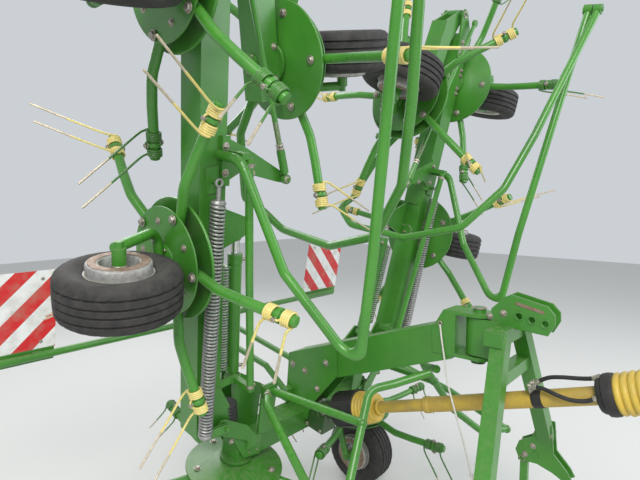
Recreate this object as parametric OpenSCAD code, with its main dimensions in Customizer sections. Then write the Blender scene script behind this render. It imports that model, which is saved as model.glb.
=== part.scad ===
// Eight-rotor mounted hay tedder, folded up for the road and parked on its wheels and stand legs.
// Row frame: +X forward to the tractor, +Y left, +Z up, ground at z = 0, millimetres.
// The rotors, wings and hinges are drawn in the machine's own frame, tipped nose-down.
// In that frame x is forward, "out" is away from the centre line and z is along the rotor axes.

/* [Machine] */
// nose-down tip of the machine frame, degrees
tip = 11; // [8:0.5:14]
// distance between neighbouring rotor axes
rotor_pitch = 967; // [950:1:985]
// rotor phase of the right centre rotor, degrees from forward to outward
phase = 39; // [0:1:71]

/* [Rotor] */
// radius of the bell's rim
bell_r = 235; // [215:1:245]
// radius of the plate under the arms
plate_r = 205; // [190:1:212]
// number of arms on a rotor
arm_count = 5; // [5:1:6]
// radius of an arm's tube
arm_r = 19; // [15:0.5:21]
// reach of an arm from the rotor axis
arm_reach = 630; // [600:1:640]
// radius of the fixed pin that the rotor turns on
pin_r = 25; // [20:1:30]
// running clearance of every turning fit, on the radius
fit = 0.05; // [0.02:0.01:0.1]
// outer radius of a tine's coil
coil_r = 29; // [26:0.5:32]
// radius of a tine's wire
tine_r = 4.5; // [4:0.5:5]
// drop of a tine's tip below its coil
tine_drop = 270; // [230:5:280]
// outward lean of a tine at its tip
tine_lean = 140; // [100:5:150]

/* [Wheel] */
// outer radius of the tyre
tyre_r = 203; // [195:1:210]
// width of the tyre
tyre_w = 165; // [150:1:170]
// radius of the rim under the tyre
rim_r = 105; // [98:1:112]
// axle radius
axle_r = 15; // [12:1:18]
// radius of a wheel leg's tube
leg_r = 18; // [15:0.5:19]
// wheel centre forward of the rotor axis
wheel_fwd = 100; // [80:5:120]
// wheel centre below the bell's rim plane
wheel_drop = 276; // [272:1:300]

/* [Wings] */
// side of the square beams of the centre and the wings
beam = 120; // [110:2:124]
// side of the outer beams
outer_beam = 100; // [90:2:104]
// clear height from the bell's rim plane to a beam
beam_lift = 60; // [58:1:70]
// wing hinge outboard of the centre rotor
hinge1_out = 95.5; // [90:0.5:110]
// wing hinge above the bell's rim plane
hinge1_up = 260; // [255:1:275]
// angle through which a wing folds up, degrees
fold1 = 84.3; // [82:0.1:86]
// outer hinge outboard of the third rotor
hinge2_out = 360; // [350:1:380]
// outer hinge above the bell's rim plane
hinge2_up = 200; // [195:1:210]
// angle through which an outer section folds in, degrees
fold2 = 171; // [168:0.1:172]
// radius of the guard tubes
guard_r = 17; // [14:0.5:20]

/* [Drawbar and headstock] */
// width of the drawbar
drawbar_w = 120; // [100:2:130]
// forward position of the swing pivot
pivot_x = 1120; // [1100:5:1150]
// half distance between the lower hitch pins' middles
hitch_half = 430; // [410:1:440]
// height of the lower hitch pins
hitch_z = 612; // [600:1:640]
// radius of a lower hitch pin
hitch_r = 14; // [14:0.5:18]
// height of the top link holes
top_link_z = 1335; // [1300:1:1350]
// radius of a top link hole
top_link_r = 12.8; // [9.6:0.1:13]
// side of a headstock post
post = 60; // [50:2:70]

/* [Power shaft] */
// radius of the inner guard tube
pto_inner_r = 28; // [24:1:30]
// radius of the outer guard tube
pto_outer_r = 34; // [31:1:38]
// length of the shaft from the centre beam
pto_len = 1790; // [1740:10:1840]

/* [Hidden] */

green = [0.20, 0.55, 0.12];
dark_green = [0.13, 0.36, 0.10];
yellow = [0.86, 0.76, 0.36];
steel = [0.62, 0.63, 0.62];
rubber = [0.12, 0.12, 0.13];
rim_white = [0.72, 0.71, 0.66];

bell_z = (tyre_r + sin(tip) * wheel_fwd) / cos(tip) + wheel_drop;
// the shaft's foot, and the two ends that set the middle of the machine's length
pto_angle = 29.1;
pto_foot = bell_z + beam_lift + beam / 2 - 2;
board_x = -980;
front_end = sin(tip) * pto_foot + cos(pto_angle - tip) * pto_len + sin(pto_angle - tip) * pto_outer_r;
rear_end = cos(tip) * (board_x + 2) + sin(tip) * 815;
shift = -(front_end + rear_end) / 2;
rotor1_out = rotor_pitch / 2;
hinge1 = [0, rotor1_out + hinge1_out, bell_z + hinge1_up];
wing_bell_z = -hinge1_up;
rotor2_out = rotor_pitch - hinge1_out;
rotor3_out = rotor2_out + rotor_pitch;
hinge2 = [0, rotor3_out + hinge2_out, wing_bell_z + hinge2_up];
rotor4_out = rotor_pitch - hinge2_out;
outer_bell_z = -hinge2_up;
// a point of the left wing's frame, seen in the machine's
function wing_point(p) = hinge1 + [p[0], p[1] * cos(fold1) - p[2] * sin(fold1), p[1] * sin(fold1) + p[2] * cos(fold1)];

// helpers: a direction, a straight rod, and a tube with round bends
function unit(v) = v / norm(v);
module aim(at, d)
    translate(at)
        rotate([0, acos(d[2] / norm(d)), atan2(d[1], d[0])])
            children();
module rod(a, b, r)
    aim(a, b - a)
        cylinder(h = norm(b - a), r = r);
function turn(p, i) = acos(max(-1, min(1, unit(p[i] - p[i - 1]) * unit(p[i + 1] - p[i]))));
// the points along a tube's bends: a bend of more than 24 degrees is walked in short steps
function bend_points(p, i, bend) =
    let (angle = turn(p, i), u = unit(p[i] - p[i - 1]), v = unit(p[i + 1] - p[i]))
    angle < 24 ? [p[i]] :
        let (steps = ceil(angle / 24), back = bend * tan(angle / 2), start = p[i] - u * back,
             side = unit(v - u * (u * v)), centre = start + side * bend)
        [for (k = [0:steps]) centre + bend * (sin(angle * k / steps) * u - cos(angle * k / steps) * side)];
function tube_points(p, bend) =
    concat([p[0]], [for (i = [1:1:len(p) - 2]) each bend_points(p, i, bend)], [p[len(p) - 1]]);
module bent_tube(p, r, bend) {
    q = tube_points(p, bend);
    for (i = [0:len(q) - 2])
        rod(q[i], q[i + 1], r);
    for (i = [1:1:len(q) - 2])
        aim(q[i], unit(q[i] - q[i - 1]) + unit(q[i + 1] - q[i]))
            sphere(r = r + 0.4);
}
// a flat plate standing across x: outline in (out, z), from x0 to x1
module plate_x(outline, x0, x1)
    translate([x0, 0, 0])
        rotate([90, 0, 90])
            linear_extrude(x1 - x0)
                polygon(outline);
// a flat plate standing across y: outline in (x, z), from y0 to y1
module plate_y(outline, y0, y1)
    translate([0, y1, 0])
        rotate([90, 0, 0])
            linear_extrude(y1 - y0)
                polygon(outline);
// a shaft along x
module shaft_x(at, x0, x1, r)
    translate([x0, at[1], at[2]])
        rotate([0, 90, 0])
            cylinder(h = x1 - x0, r = r);
// a shaft along y
module shaft_y(at, y0, y1, r)
    translate([at[0], y1, at[2]])
        rotate([90, 0, 0])
            cylinder(h = y1 - y0, r = r);

// frames: side is 1 for left and -1 for right
module on_side(side) {
    if (side > 0)
        children();
    else
        mirror([0, 1, 0])
            children();
}
module level() translate([shift, 0, 0]) children();
module machine() translate([shift, 0, 0]) rotate([0, tip, 0]) children();
module wing_frame() machine() translate(hinge1) rotate([fold1, 0, 0]) children();
module outer_frame() wing_frame() translate(hinge2) rotate([fold2, 0, 0]) children();
// the frame of one rotor: its bell's rim plane and axis
module rotor_frame(k) {
    if (k == 1)
        machine() translate([0, rotor1_out, bell_z]) children();
    if (k == 2)
        wing_frame() translate([0, rotor2_out, wing_bell_z]) children();
    if (k == 3)
        wing_frame() translate([0, rotor3_out, wing_bell_z]) children();
    if (k == 4)
        outer_frame() translate([0, rotor4_out, outer_bell_z]) children();
}

// rotors: each neighbour stands half an arm's pitch off, so that the arms mesh
half_step = 180 / arm_count;
function rotor_phase(k, side) =
    side < 0 ? (k % 2 == 1 ? phase : half_step - phase)
             : (k % 2 == 1 ? phase - half_step : 2 * half_step - phase);
arm_path = [[62, 0, -20], [190, 0, -24], [320, 0, -42], [430, 0, -26], [arm_reach, 0, 14]];
arm_end = arm_path[4] - arm_path[3];
arm_slope = atan2(arm_end[2], arm_end[0]);
arm_end_len = norm(arm_end);
coil_w = 44;
coil_gap = 22;
bell_profile = [
    [pin_r + fit, -50], [plate_r, -50], [plate_r, -44], [60, -44], [60, 34], [93, 31], [148, 15],
    [bell_r - 13, 0], [bell_r - 6, -4], [bell_r, -4], [bell_r, 6], [bell_r - 10, 8], [150, 24], [95, 40],
    [60, 44], [pin_r + fit, 44]];
module rotor_solid() {
    rotate_extrude()
        polygon(bell_profile);
    for (i = [0:arm_count - 1])
        rotate([0, 0, i * 360 / arm_count]) {
            bent_tube(arm_path, arm_r, 160);
            translate([186, 0, -55])
                cylinder(h = 72, r = 9);
        }
}
coil_ribs = 5;
module coil()
    rotate([0, 90, 0])
        rotate_extrude()
            polygon(concat(
                [[arm_r + 0.3, 0]],
                [for (i = [0:coil_ribs - 1], t = [0, 0.5]) [coil_r - (t == 0 ? 5 : 0), (i + t) * coil_w / coil_ribs]],
                [[coil_r - 5, coil_w], [arm_r + 0.3, coil_w]]));
module tines_solid()
    for (i = [0:arm_count - 1])
        rotate([0, 0, i * 360 / arm_count])
            translate(arm_path[3])
                rotate([0, -arm_slope, 0]) {
                    last = arm_end_len - 4;
                    first = last - 2 * coil_w - coil_gap;
                    translate([last - coil_w, 0, 0])
                        coil();
                    translate([first, 0, 0])
                        coil();
                    for (x = [first + tine_r + 1, last - tine_r - 1])
                        rod([x, 0, -coil_r + tine_r], [x + tine_lean, 0, -coil_r - tine_drop], tine_r);
                }
module rotor(k, side)
    on_side(side)
        rotor_frame(k)
            rotate([0, 0, rotor_phase(k, side)])
                rotor_solid();
module tines(k, side)
    on_side(side)
        rotor_frame(k)
            rotate([0, 0, rotor_phase(k, side)])
                tines_solid();

// wheels: out is the wheel's middle, leg is the leg's side of it
leg_gap = 64;
leg_out = 118;
// the centre wheels have their legs on the inner side, the others on the outer side
function leg_side(k) = k == 1 ? -1 : 1;
function leg_at(k) = leg_side(k) * leg_out;
function wheel_at(k) = [wheel_fwd, leg_side(k) * (leg_out - leg_gap - tyre_w / 2), -wheel_drop];
tyre_profile = [
    [rim_r, -60], [rim_r + 12, -68], [rim_r + 45, -tyre_w / 2 + 2], [rim_r + 60, -tyre_w / 2],
    [rim_r + 78, -tyre_w / 2 + 5], [tyre_r - 6, -tyre_w / 2 + 16], [tyre_r - 1.5, -54], [tyre_r - 1, -45],
    [tyre_r - 7, -43], [tyre_r - 7, -39], [tyre_r, -37], [tyre_r, -17], [tyre_r - 6, -15], [tyre_r - 6, -11],
    [tyre_r, -9], [tyre_r, 9], [tyre_r - 6, 11], [tyre_r - 6, 15], [tyre_r, 17], [tyre_r, 37],
    [tyre_r - 7, 39], [tyre_r - 7, 43], [tyre_r - 1, 45], [tyre_r - 1.5, 54], [tyre_r - 6, tyre_w / 2 - 16],
    [rim_r + 78, tyre_w / 2 - 5], [rim_r + 60, tyre_w / 2], [rim_r + 45, tyre_w / 2 - 2], [rim_r + 12, 68],
    [rim_r, 60]];
rim_profile = [
    [axle_r + fit, -52], [30, -52], [30, -6], [70, -6], [82, -18], [96, -40], [96, -58], [rim_r + 6, -64],
    [rim_r + 6, -62], [rim_r, -58], [rim_r, 58], [rim_r + 6, 62], [rim_r + 6, 64], [97, 58], [97, -10], [76, 2],
    [30, 2], [30, 46], [axle_r + fit, 46]];
module wheel_place(k, side)
    on_side(side)
        rotor_frame(k)
            translate(wheel_at(k))
                rotate([-90, 0, 0])
                    children();
module rim(k, side)
    wheel_place(k, side)
        mirror([0, 0, leg_side(k) < 0 ? 1 : 0])
            rotate_extrude()
                polygon(rim_profile);
module tyre(k, side)
    wheel_place(k, side)
        difference() {
            rotate_extrude()
                polygon(tyre_profile);
            rotate_extrude()
                polygon([[rim_r - 20, -70], [rim_r + 6.5, -70], [rim_r + 6.5, -61.5], [rim_r, -58], [rim_r, 58],
                         [rim_r + 6.5, 61.5], [rim_r + 6.5, 70], [rim_r - 20, 70]]);
        }
// the fixed pin of a rotor with its bearing case, and the leg that carries the wheel
module leg(k) {
    wheel = wheel_at(k);
    translate([0, 0, -80])
        cylinder(h = 80 + beam_lift + 1, r = pin_r);
    translate([0, 0, 50])
        cylinder(h = beam_lift - 49, r = 78);
    mirror([0, leg_side(k) < 0 ? 1 : 0, 0]) {
        bent_tube([[0, 0, -73], [-8, 86, -75], [4, leg_out, -104], [wheel[0], leg_out, wheel[2] - 14]], leg_r, 34);
        translate([wheel[0], leg_out, wheel[2]])
            rotate([90, 0, 0]) {
                translate([0, 0, -22])
                    cylinder(h = 22 + leg_gap + tyre_w / 2 + 58, r = axle_r);
                cylinder(h = leg_gap + tyre_w / 2 - 47, r = axle_r + 8);
                translate([0, 0, leg_gap + tyre_w / 2 + 54])
                    cylinder(h = 10, r = axle_r + 8);
            }
    }
}

// centre frame: cross beam, tower, hinge lugs, cylinder and spring brackets
barrel_x = -55;
barrel_foot = [barrel_x, 520, 960];
barrel_eye_wing = [barrel_x, 935, 72];
spring_x = 105;
spring_foot = [spring_x, 665, 828];
lug_t = 12;
pin1_r = 15;
module centre_side() {
    translate([0, rotor1_out, bell_z])
        leg(1);
    // wing hinge lugs with their pin
    for (x = [beam / 2 + 6, -beam / 2 - 6 - lug_t])
        union() {
            plate_x([[400, bell_z + 70], [505, bell_z + 90], [595, hinge1[2] - 24], [590, hinge1[2] + 24],
                     [556, hinge1[2] + 26], [500, bell_z + 180], [400, bell_z + 180]], x, x + lug_t);
            shaft_x(hinge1, x, x + lug_t, 32);
        }
    for (x = [beam / 2 - 1, -beam / 2 - 7])
        plate_x([[400, bell_z + 80], [500, bell_z + 100], [500, bell_z + 170], [400, bell_z + 170]], x, x + 8);
    shaft_x(hinge1, -beam / 2 - lug_t - 14, beam / 2 + lug_t + 14, pin1_r);
    // cylinder bracket and its pin
    for (x = [barrel_x - 47, barrel_x + 37])
        plate_x([[360, bell_z + 150], [500, bell_z + 150], [548, 930], [550, 985], [500, 995], [420, 930], [360, 900]],
                x, x + 10);
    translate([barrel_x - 47, 360, bell_z + 150])
        cube([94, 130, 60]);
    shaft_x(barrel_foot, barrel_x - 54, barrel_x + 54, 12);
    // spring bracket: an arm forward of the beam with its pin
    plate_x([[520, 700], [686, 790], [698, 830], [680, 860], [650, 856], [520, 780], [440, 690], [440, 650]], spring_x - 24,
            spring_x - 15);
    translate([beam / 2 + 17, 440, 640])
        cube([spring_x - 15 - beam / 2 - 17, 60, 60]);
    shaft_x(spring_foot, spring_x - 28, spring_x + 20, 10);
    // arm that carries the guard tubes
    plate_x([[330, bell_z + 170], [420, bell_z + 170], [430, 940], [330, 940]], 60, 72);
}
module centre_frame() color(green) {
    machine() {
        translate([-beam / 2, -rotor1_out - 40, bell_z + beam_lift])
            cube([beam, 2 * rotor1_out + 80, beam]);
        for (y = [drawbar_w / 2, -drawbar_w / 2 - 12])
            plate_y([[-80, 640], [80, 640], [90, 720], [230, 960], [190, 1125], [-110, 952]], y, y + 12);
    }
    for (side = [1, -1])
        on_side(side)
            machine()
                centre_side();
}

// drawbar with the fork for the headstock; x forward, z up in the row frame
fork_w = drawbar_w + 6;
module drawbar() color(green) {
    machine()
        plate_y([[-100, 958], [760, 1458], [796, 1296], [-60, 773]], -drawbar_w / 2, drawbar_w / 2);
    level() {
        plate_y([[940, 1132], [930, 1230], [985, 1326], [1042, 1326], [1042, 1132]], -fork_w / 2, fork_w / 2);
        for (z = [1312, 1132]) {
            translate([1000, -fork_w / 2, z])
                cube([pivot_x - 1000, fork_w, 14]);
            translate([pivot_x, 0, z])
                cylinder(h = 14, r = fork_w / 2 + 2);
        }
        translate([pivot_x, 0, 1112])
            cylinder(h = 236, r = 18);
        translate([pivot_x, 0, 1326])
            cylinder(h = 16, r = 27);
        translate([pivot_x, 0, 1114])
            cylinder(h = 18, r = 27);
    }
}

// power shaft: it runs up and forward from the centre of the beam
module pto_frame() machine() translate([0, 0, pto_foot]) rotate([0, 90 - pto_angle, 0]) children();
module gearbox() color(dark_green) {
    machine()
        translate([beam / 2, -56, bell_z + 92])
            cube([126, 112, 132]);
    pto_frame() {
        translate([0, 0, 150])
            cylinder(h = 130, r = 48);
        translate([0, 0, 280])
            cylinder(h = 60, r = 20);
    }
}
module pto_tube() color(yellow)
    pto_frame() {
        translate([0, 0, 340])
            cylinder(h = 60, r = 24);
        translate([0, 0, 390])
            cylinder(h = 460, r = pto_inner_r);
        translate([0, 0, 800])
            cylinder(h = 780, r = pto_outer_r);
        translate([0, 0, 1570])
            cylinder(h = 150, r = 24);
        difference() {
            translate([0, 0, 1700])
                cylinder(h = pto_len - 1700, r = pto_outer_r);
            translate([0, 0, 1740])
                cylinder(h = 200, r = 18);
        }
    }
module cone_shell(z0, z1, r0, r1, ribs)
    translate([0, 0, z0])
        rotate_extrude()
            polygon(concat(
                [for (i = [0:ribs - 1], t = [0, 0.5])
                    [r0 + (r1 - r0) * (i + t) / ribs + (t == 0 ? 0 : 5), (i + t) * (z1 - z0) / ribs]],
                [[r1, z1 - z0], [r1 - 5, z1 - z0], [r0 - 5, 0]]));
module cone_wall(z, r0, r1)
    translate([0, 0, z])
        difference() {
            cylinder(h = 6, r = r1);
            translate([0, 0, -1])
                cylinder(h = 8, r = r0);
        }
module pto_cones() color(yellow)
    pto_frame() {
        // rear: a black cup on the gearbox, then a ribbed cone on the tube
        difference() {
            translate([0, 0, 280])
                cylinder(h = 140, r = 92);
            translate([0, 0, 286])
                cylinder(h = 150, r = 86);
            translate([0, 0, 260])
                cylinder(h = 40, r = 20.3);
        }
        cone_shell(400, 520, 80, 66, 9);
        cone_wall(514, pto_inner_r, 64);
        // front: a ribbed cone on the tube, open to the tractor
        cone_shell(1560, 1700, 66, 76, 8);
        cone_wall(1560, pto_outer_r, 64);
    }

// guard tubes in front of the centre rotors
guard_meet = [860, 780, 665];
guard_high = [530, 235, 1080];
guard_low = [650, 460, 800];
guard_cross = guard_high + 0.387 * (guard_low - guard_high);
module front_guard() color(green)
    for (side = [1, -1])
        on_side(side)
            machine() {
                translate([72, 348, 882])
                    cube([10, 80, 54]);
                bent_tube([[85, 408, 914], [160, 480, 905], [550, 620, 810], guard_meet], guard_r, 60);
                bent_tube([[700, 30, 1180], [600, 150, 1115], guard_high, guard_low, [780, 600, 680], guard_meet],
                          guard_r, 50);
                bent_tube([[77, 370, 905], [170, 352, 912], guard_cross], guard_r, 60);
                translate(guard_cross)
                    sphere(r = guard_r + 6);
                translate(guard_meet)
                    sphere(r = guard_r + 6);
            }

// rear frame that carries the warning boards
board_in = 960;
board_w = 423;
board_z = 860;
module rear_frame() color(green)
    machine() {
        for (y = [96, -96])
            bent_tube([[-70, y, 740], [-250, y, 820], [board_x + 30, y, 830]], guard_r, 120);
        shaft_y([board_x + 30, 0, 830], -board_in - board_w + 40, board_in + board_w - 40, 20);
        for (y = [84, -108])
            plate_y([[-80, 700], [-40, 700], [-40, 770], [-80, 770]], y - 12, y + 36);
        for (side = [1, -1], out = [board_in + 70, board_in + board_w - 70])
            translate([board_x + 2, side * out - 15, 815])
                cube([12, 30, 400]);
    }
module warning_boards() color([0.85, 0.85, 0.85])
    machine()
        for (side = [1, -1])
            translate([board_x - 2, side * (board_in + board_w / 2) - board_w / 2, board_z])
                cube([4, board_w, board_w]);

// headstock: it swings on the drawbar's pivot
module headstock_side() {
    top = [1252, 95, 1285];
    low = [1300, 372, 690];
    d = unit(low - top);
    // post as a square tube
    multmatrix([[1, 0, d[0], top[0]], [0, cos(atan2(d[1], -d[2])), d[1], top[1]],
                [0, sin(atan2(d[1], -d[2])), d[2], top[2]], [0, 0, 0, 1]])
        translate([-post / 2, -post / 2, 0])
            cube([post, post, norm(low - top)]);
    // lower cheek plates with the hitch pin
    for (y = [345, 395])
        plate_y([[1170, 610], [1185, 655], [1240, 690], [1272, 770], [1328, 770], [1340, 640], [1400, 575], [1420, 540],
                 [1395, 522], [1340, 550], [1270, 570], [1190, 565]], y, y + 10);
    shaft_y([1262, 0, hitch_z], 340, hitch_half + 45, hitch_r);
    // sleeve of the stand leg
    difference() {
        translate([1182, 350, 560])
            cube([46, 50, 60]);
        translate([1187.6, 361.6, 500])
            cube([34.8, 26.8, 200]);
    }
}
module headstock() color(green) level() {
    difference() {
        union() {
            translate([pivot_x, 0, 1150])
                cylinder(h = 158, r = 52);
            translate([pivot_x, -52, 1150])
                cube([110, 104, 158]);
            translate([1205, -160, 1235])
                cube([70, 320, 60]);
            translate([1222, -150, 1080])
                cube([60, 300, 50]);
            // top link plates and the web behind them
            for (y = [-40, 30])
                plate_y([[1130, 1345], [1180, 1352], [1240, 1412], [1262, 1424], [1400, 1395], [1428, 1365], [1430, 1330],
                         [1405, 1282], [1270, 1290], [1215, 1260], [1160, 1300]], y, y + 10);
        }
        translate([pivot_x, 0, 1100])
            cylinder(h = 300, r = 18 + fit);
        translate([pivot_x - 80, -60, 1308])
            cube([146, 120, 50]);
        for (x = [1296, 1345, 1394])
            shaft_y([x, 0, top_link_z - (x - 1345) * 0.15], -60, 60, top_link_r);
    }
    for (side = [1, -1])
        on_side(side)
            headstock_side();
}
// stand legs slide in their sleeves
module stand(side) color(green)
    level() on_side(side) {
        translate([1188, 362, 14])
            cube([34, 26, 640]);
        translate([1160, 335, 0])
            cube([90, 80, 14]);
    }

// wings: beam, hinge ends, guard, tie rod and lever
lever_tip = [100, 1160, 205];
module wing_beam(side) color(green)
    on_side(side)
        wing_frame() {
            z0 = wing_bell_z + beam_lift;
            difference() {
                union() {
                    translate([-beam / 2, 50, z0])
                        cube([beam, hinge2[1] - 150, beam]);
                    for (x = [-beam / 2, beam / 2 - lug_t])
                        plate_x([[50, z0], [260, z0], [260, z0 + beam], [40, 26], [-10, 26], [-26, 0], [-20, -20]], x, x + lug_t);
                    shaft_x([0, 0, 0], -beam / 2, beam / 2, 30);
                    for (x = [outer_beam / 2 + 6, -outer_beam / 2 - 6 - lug_t])
                        plate_x([[hinge2[1] - 240, z0], [hinge2[1] - 100, z0], [hinge2[1] + 26, hinge2[2] - 16],
                                 [hinge2[1] + 26, hinge2[2] + 14], [hinge2[1] - 20, hinge2[2] + 26],
                                 [hinge2[1] - 240, z0 + beam]], x, x + lug_t);
                }
                shaft_x([0, 0, 0], -beam, beam, pin1_r + fit);
            }
            shaft_x(hinge2, -outer_beam / 2 - lug_t - 12, outer_beam / 2 + lug_t + 12, 12);
            for (out = [rotor2_out, rotor3_out])
                translate([0, out, wing_bell_z])
                    leg(out == rotor2_out ? 2 : 3);
            // bracket for the cylinder's eye
            for (x = [barrel_x - 34, barrel_x + 24])
                plate_x([[840, z0 + beam - 2], [1060, z0 + beam - 2], [985, 95], [900, 100], [885, 60]], x, x + 10);
            translate([barrel_x - 34, 840, z0 + beam - 2])
                cube([68, 220, 10]);
            // bracket for the lift spring's eye
            plate_x([[1120, -176], [1222, -176], [1230, -120], [1130, -110]], beam / 2 - 1, beam / 2 + 7);
            shaft_x([0, 1171, -145], beam / 2, spring_x - 18, 9);
            // front guard: from the beam to its low bend and up to the outer hinge line
            bent_tube([[60, 1270, -115], [185, 1265, -112], [397, 890, -73], [640, 660, -5], [712, 655, 5],
                       [712, 1027, 10], [738, hinge2[1], hinge2[2]]], guard_r, 55);
            shaft_x(hinge2, 716, 757, 25);
            shaft_x(hinge2, 716, 806, 9);
            // tie rod beside the beam and its two brackets
            bent_tube([[156, 262, 8], [160, 800, -28], [166, 1268, -58]], 15, 100);
            translate([beam / 2 - 24, 250, z0 + beam - 2])
                cube([22, 26, 104]);
            translate([beam / 2 - 24, 250, -6])
                cube([132, 26, 28]);
            translate([beam / 2 - 2, 1262, -96])
                cube([116, 26, 36]);
            // lever of the outer section's link
            plate_x([[1170, z0 + beam - 2], [1330, z0 + beam - 2], [1290, 10], [1178, 222], [1140, 214], [1146, 180], [1200, -20]],
                    66, 76);
            plate_x([[1150, z0 + beam - 30], [1340, z0 + beam - 30], [1340, z0 + beam + 6], [1150, z0 + beam + 6]], 40, 76);
            shaft_x(lever_tip, 68, 116, 9);
        }
// outer section: beam, hinge lugs, wheel leg and guard
module outer_beam_solid(side) color(green)
    on_side(side)
        outer_frame() {
            z0 = outer_bell_z + beam_lift;
            difference() {
                union() {
                    translate([-outer_beam / 2, 110, z0])
                        cube([outer_beam, 640, outer_beam]);
                    for (x = [-42, 30])
                        plate_x([[112, z0], [230, z0], [230, z0 + outer_beam], [30, 24], [-14, 22], [-24, -6], [-10, -24]], x, x + 12);
                    shaft_x([0, 0, 0], -42, 42, 26);
                }
                shaft_x([0, 0, 0], -80, 80, 12 + fit);
            }
            translate([0, rotor4_out, outer_bell_z])
                leg(4);
            // guard: from the hinge line forward and round the end of the section
            difference() {
                union() {
                    bent_tube([[782, 0, 0], [705, 700, -90], [655, 1000, -130], [520, 1240, -165], [246, 1372, -206],
                               [-90, 1384, -236], [-215, 1300, -220], [-218, 1225, -128], [-150, 900, -80], [-40, 735, -78]],
                              guard_r, 45);
                    shaft_x([0, 0, 0], 763, 800, 25);
                }
                shaft_x([0, 0, 0], 740, 830, 9 + fit);
            }
        }
// link rod from the lever to the outer section, turning on the lever's pin
link_end = [100, hinge2[1] - 25.8, hinge2[2] - 75.7];
module link_rod(side) color(green)
    on_side(side)
        wing_frame()
            difference() {
                union() {
                    rod(lever_tip + unit(link_end - lever_tip) * 12, link_end - unit(link_end - lever_tip) * 12, 11);
                    shaft_x(lever_tip, 90, 110, 20);
                    shaft_x(link_end, 92, 108, 18);
                    rod(lever_tip + unit(link_end - lever_tip) * 30, lever_tip + unit(link_end - lever_tip) * 130, 17);
                }
                shaft_x(lever_tip, 60, 130, 9 + fit);
            }
// lift spring: a hooked link at its foot, the coil and an eye at its head
spring_low = [spring_x, 775, 836];
spring_eye = wing_point([spring_x, 1171, -145]);
spring_top = spring_eye - unit(spring_eye - spring_low) * 74;
spring_r = 32;
module lift_spring(side) color(steel)
    on_side(side)
        machine()
            difference() {
                union() {
                    plate_x([[spring_foot[1] - 20, 806], [spring_low[1] + 16, 800], [spring_low[1] + 22, 840],
                             [spring_foot[1] - 14, 850]], spring_x - 9, spring_x + 9);
                    rod(spring_low, spring_top, spring_r - 6);
                    for (i = [0:19])
                        rod(spring_low + (spring_top - spring_low) * (i / 20 + 0.012),
                            spring_low + (spring_top - spring_low) * (i / 20 + 0.036), spring_r);
                    rod(spring_top, spring_eye, 9);
                    shaft_x(spring_eye, spring_x - 12, spring_x + 12, 18);
                }
                shaft_x(spring_eye, spring_x - 40, spring_x + 40, 9);
                shaft_x(spring_foot, spring_x - 40, spring_x + 40, 10 + fit);
            }
// fold cylinder: its foot turns on the centre frame and its rod reaches the wing
barrel_head = wing_point(barrel_eye_wing);
barrel_dir = unit(barrel_head - barrel_foot);
barrel_span = norm(barrel_head - barrel_foot);
module along_barrel() machine() translate(barrel_foot) rotate([-atan2(barrel_dir[1], barrel_dir[2]), 0, 0]) children();
module fold_barrel(side) color(green)
    on_side(side)
        along_barrel() {
            difference() {
                union() {
                    translate([0, 0, 34])
                        cylinder(h = 590, r = 31);
                    rotate([0, 90, 0])
                        translate([0, 0, -30])
                            cylinder(h = 60, r = 26);
                    translate([-16, -16, 0])
                        cube([32, 32, 50]);
                }
                translate([0, 0, 60])
                    cylinder(h = 600, r = 20 + fit);
                rotate([0, 90, 0])
                    translate([0, 0, -50])
                        cylinder(h = 100, r = 12 + fit);
            }
            // inner spring beside the barrel, held by two clips
            translate([0, 62, 70])
                cylinder(h = 500, r = 20);
            for (i = [0:15])
                translate([0, 62, 82 + i * 31])
                    cylinder(h = 14, r = 25);
            for (z = [60, 560])
                translate([-14, 30, z])
                    cube([28, 40, 14]);
        }
module fold_rod(side) color(steel)
    on_side(side)
        along_barrel() {
            translate([0, 0, 180])
                cylinder(h = barrel_span - 200, r = 20);
            rotate([0, 90, 0])
                translate([-barrel_span, 0, -18])
                    cylinder(h = 36, r = 24);
        }

// free cords: one swept skin each
cord_sides = 8;
function ring(p, i) =
    let (a = p[max(0, i - 1)], b = p[min(len(p) - 1, i + 1)], t = unit(b - a),
         n = unit(cross(t, abs(t[2]) < 0.9 ? [0, 0, 1] : [1, 0, 0])), m = cross(t, n))
    [n, m];
module cord(p, r)
    polyhedron(
        points = [for (i = [0:len(p) - 1], j = [0:cord_sides - 1])
            p[i] + r * (cos(360 * j / cord_sides) * ring(p, i)[0] + sin(360 * j / cord_sides) * ring(p, i)[1])],
        faces = concat(
            [[for (j = [0:cord_sides - 1]) j]],
            [[for (j = [0:cord_sides - 1]) (len(p) - 1) * cord_sides + cord_sides - 1 - j]],
            [for (i = [0:len(p) - 2], j = [0:cord_sides - 1])
                [i * cord_sides + j, (i + 1) * cord_sides + j, (i + 1) * cord_sides + (j + 1) % cord_sides,
                 i * cord_sides + (j + 1) % cord_sides]]));
rope_route = [[975, -68, 1262], [985, -70, 1200], [1000, -72, 1120], [1015, -74, 1030], [1050, -76, 920],
              [1085, -78, 820], [1115, -80, 730], [1140, -82, 650]];
hose_upper_route = [[1350, 0, 1076], [1400, 5, 1108], [1450, 5, 1122], [1500, 5, 1130], [1545, 3, 1140],
                    [1572, 0, 1152]];
hose_lower_route = [[1350, -40, 1076], [1400, -50, 1080], [1450, -60, 1072], [1500, -60, 1066], [1550, -54, 1074],
                    [1586, -50, 1096]];
module rope() level() color([0.8, 0.8, 0.76]) cord(rope_route, 4);
module hose_upper() level() color(rubber) cord(hose_upper_route, 8);
module hose_lower() level() color(rubber) cord(hose_lower_route, 8);

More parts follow.
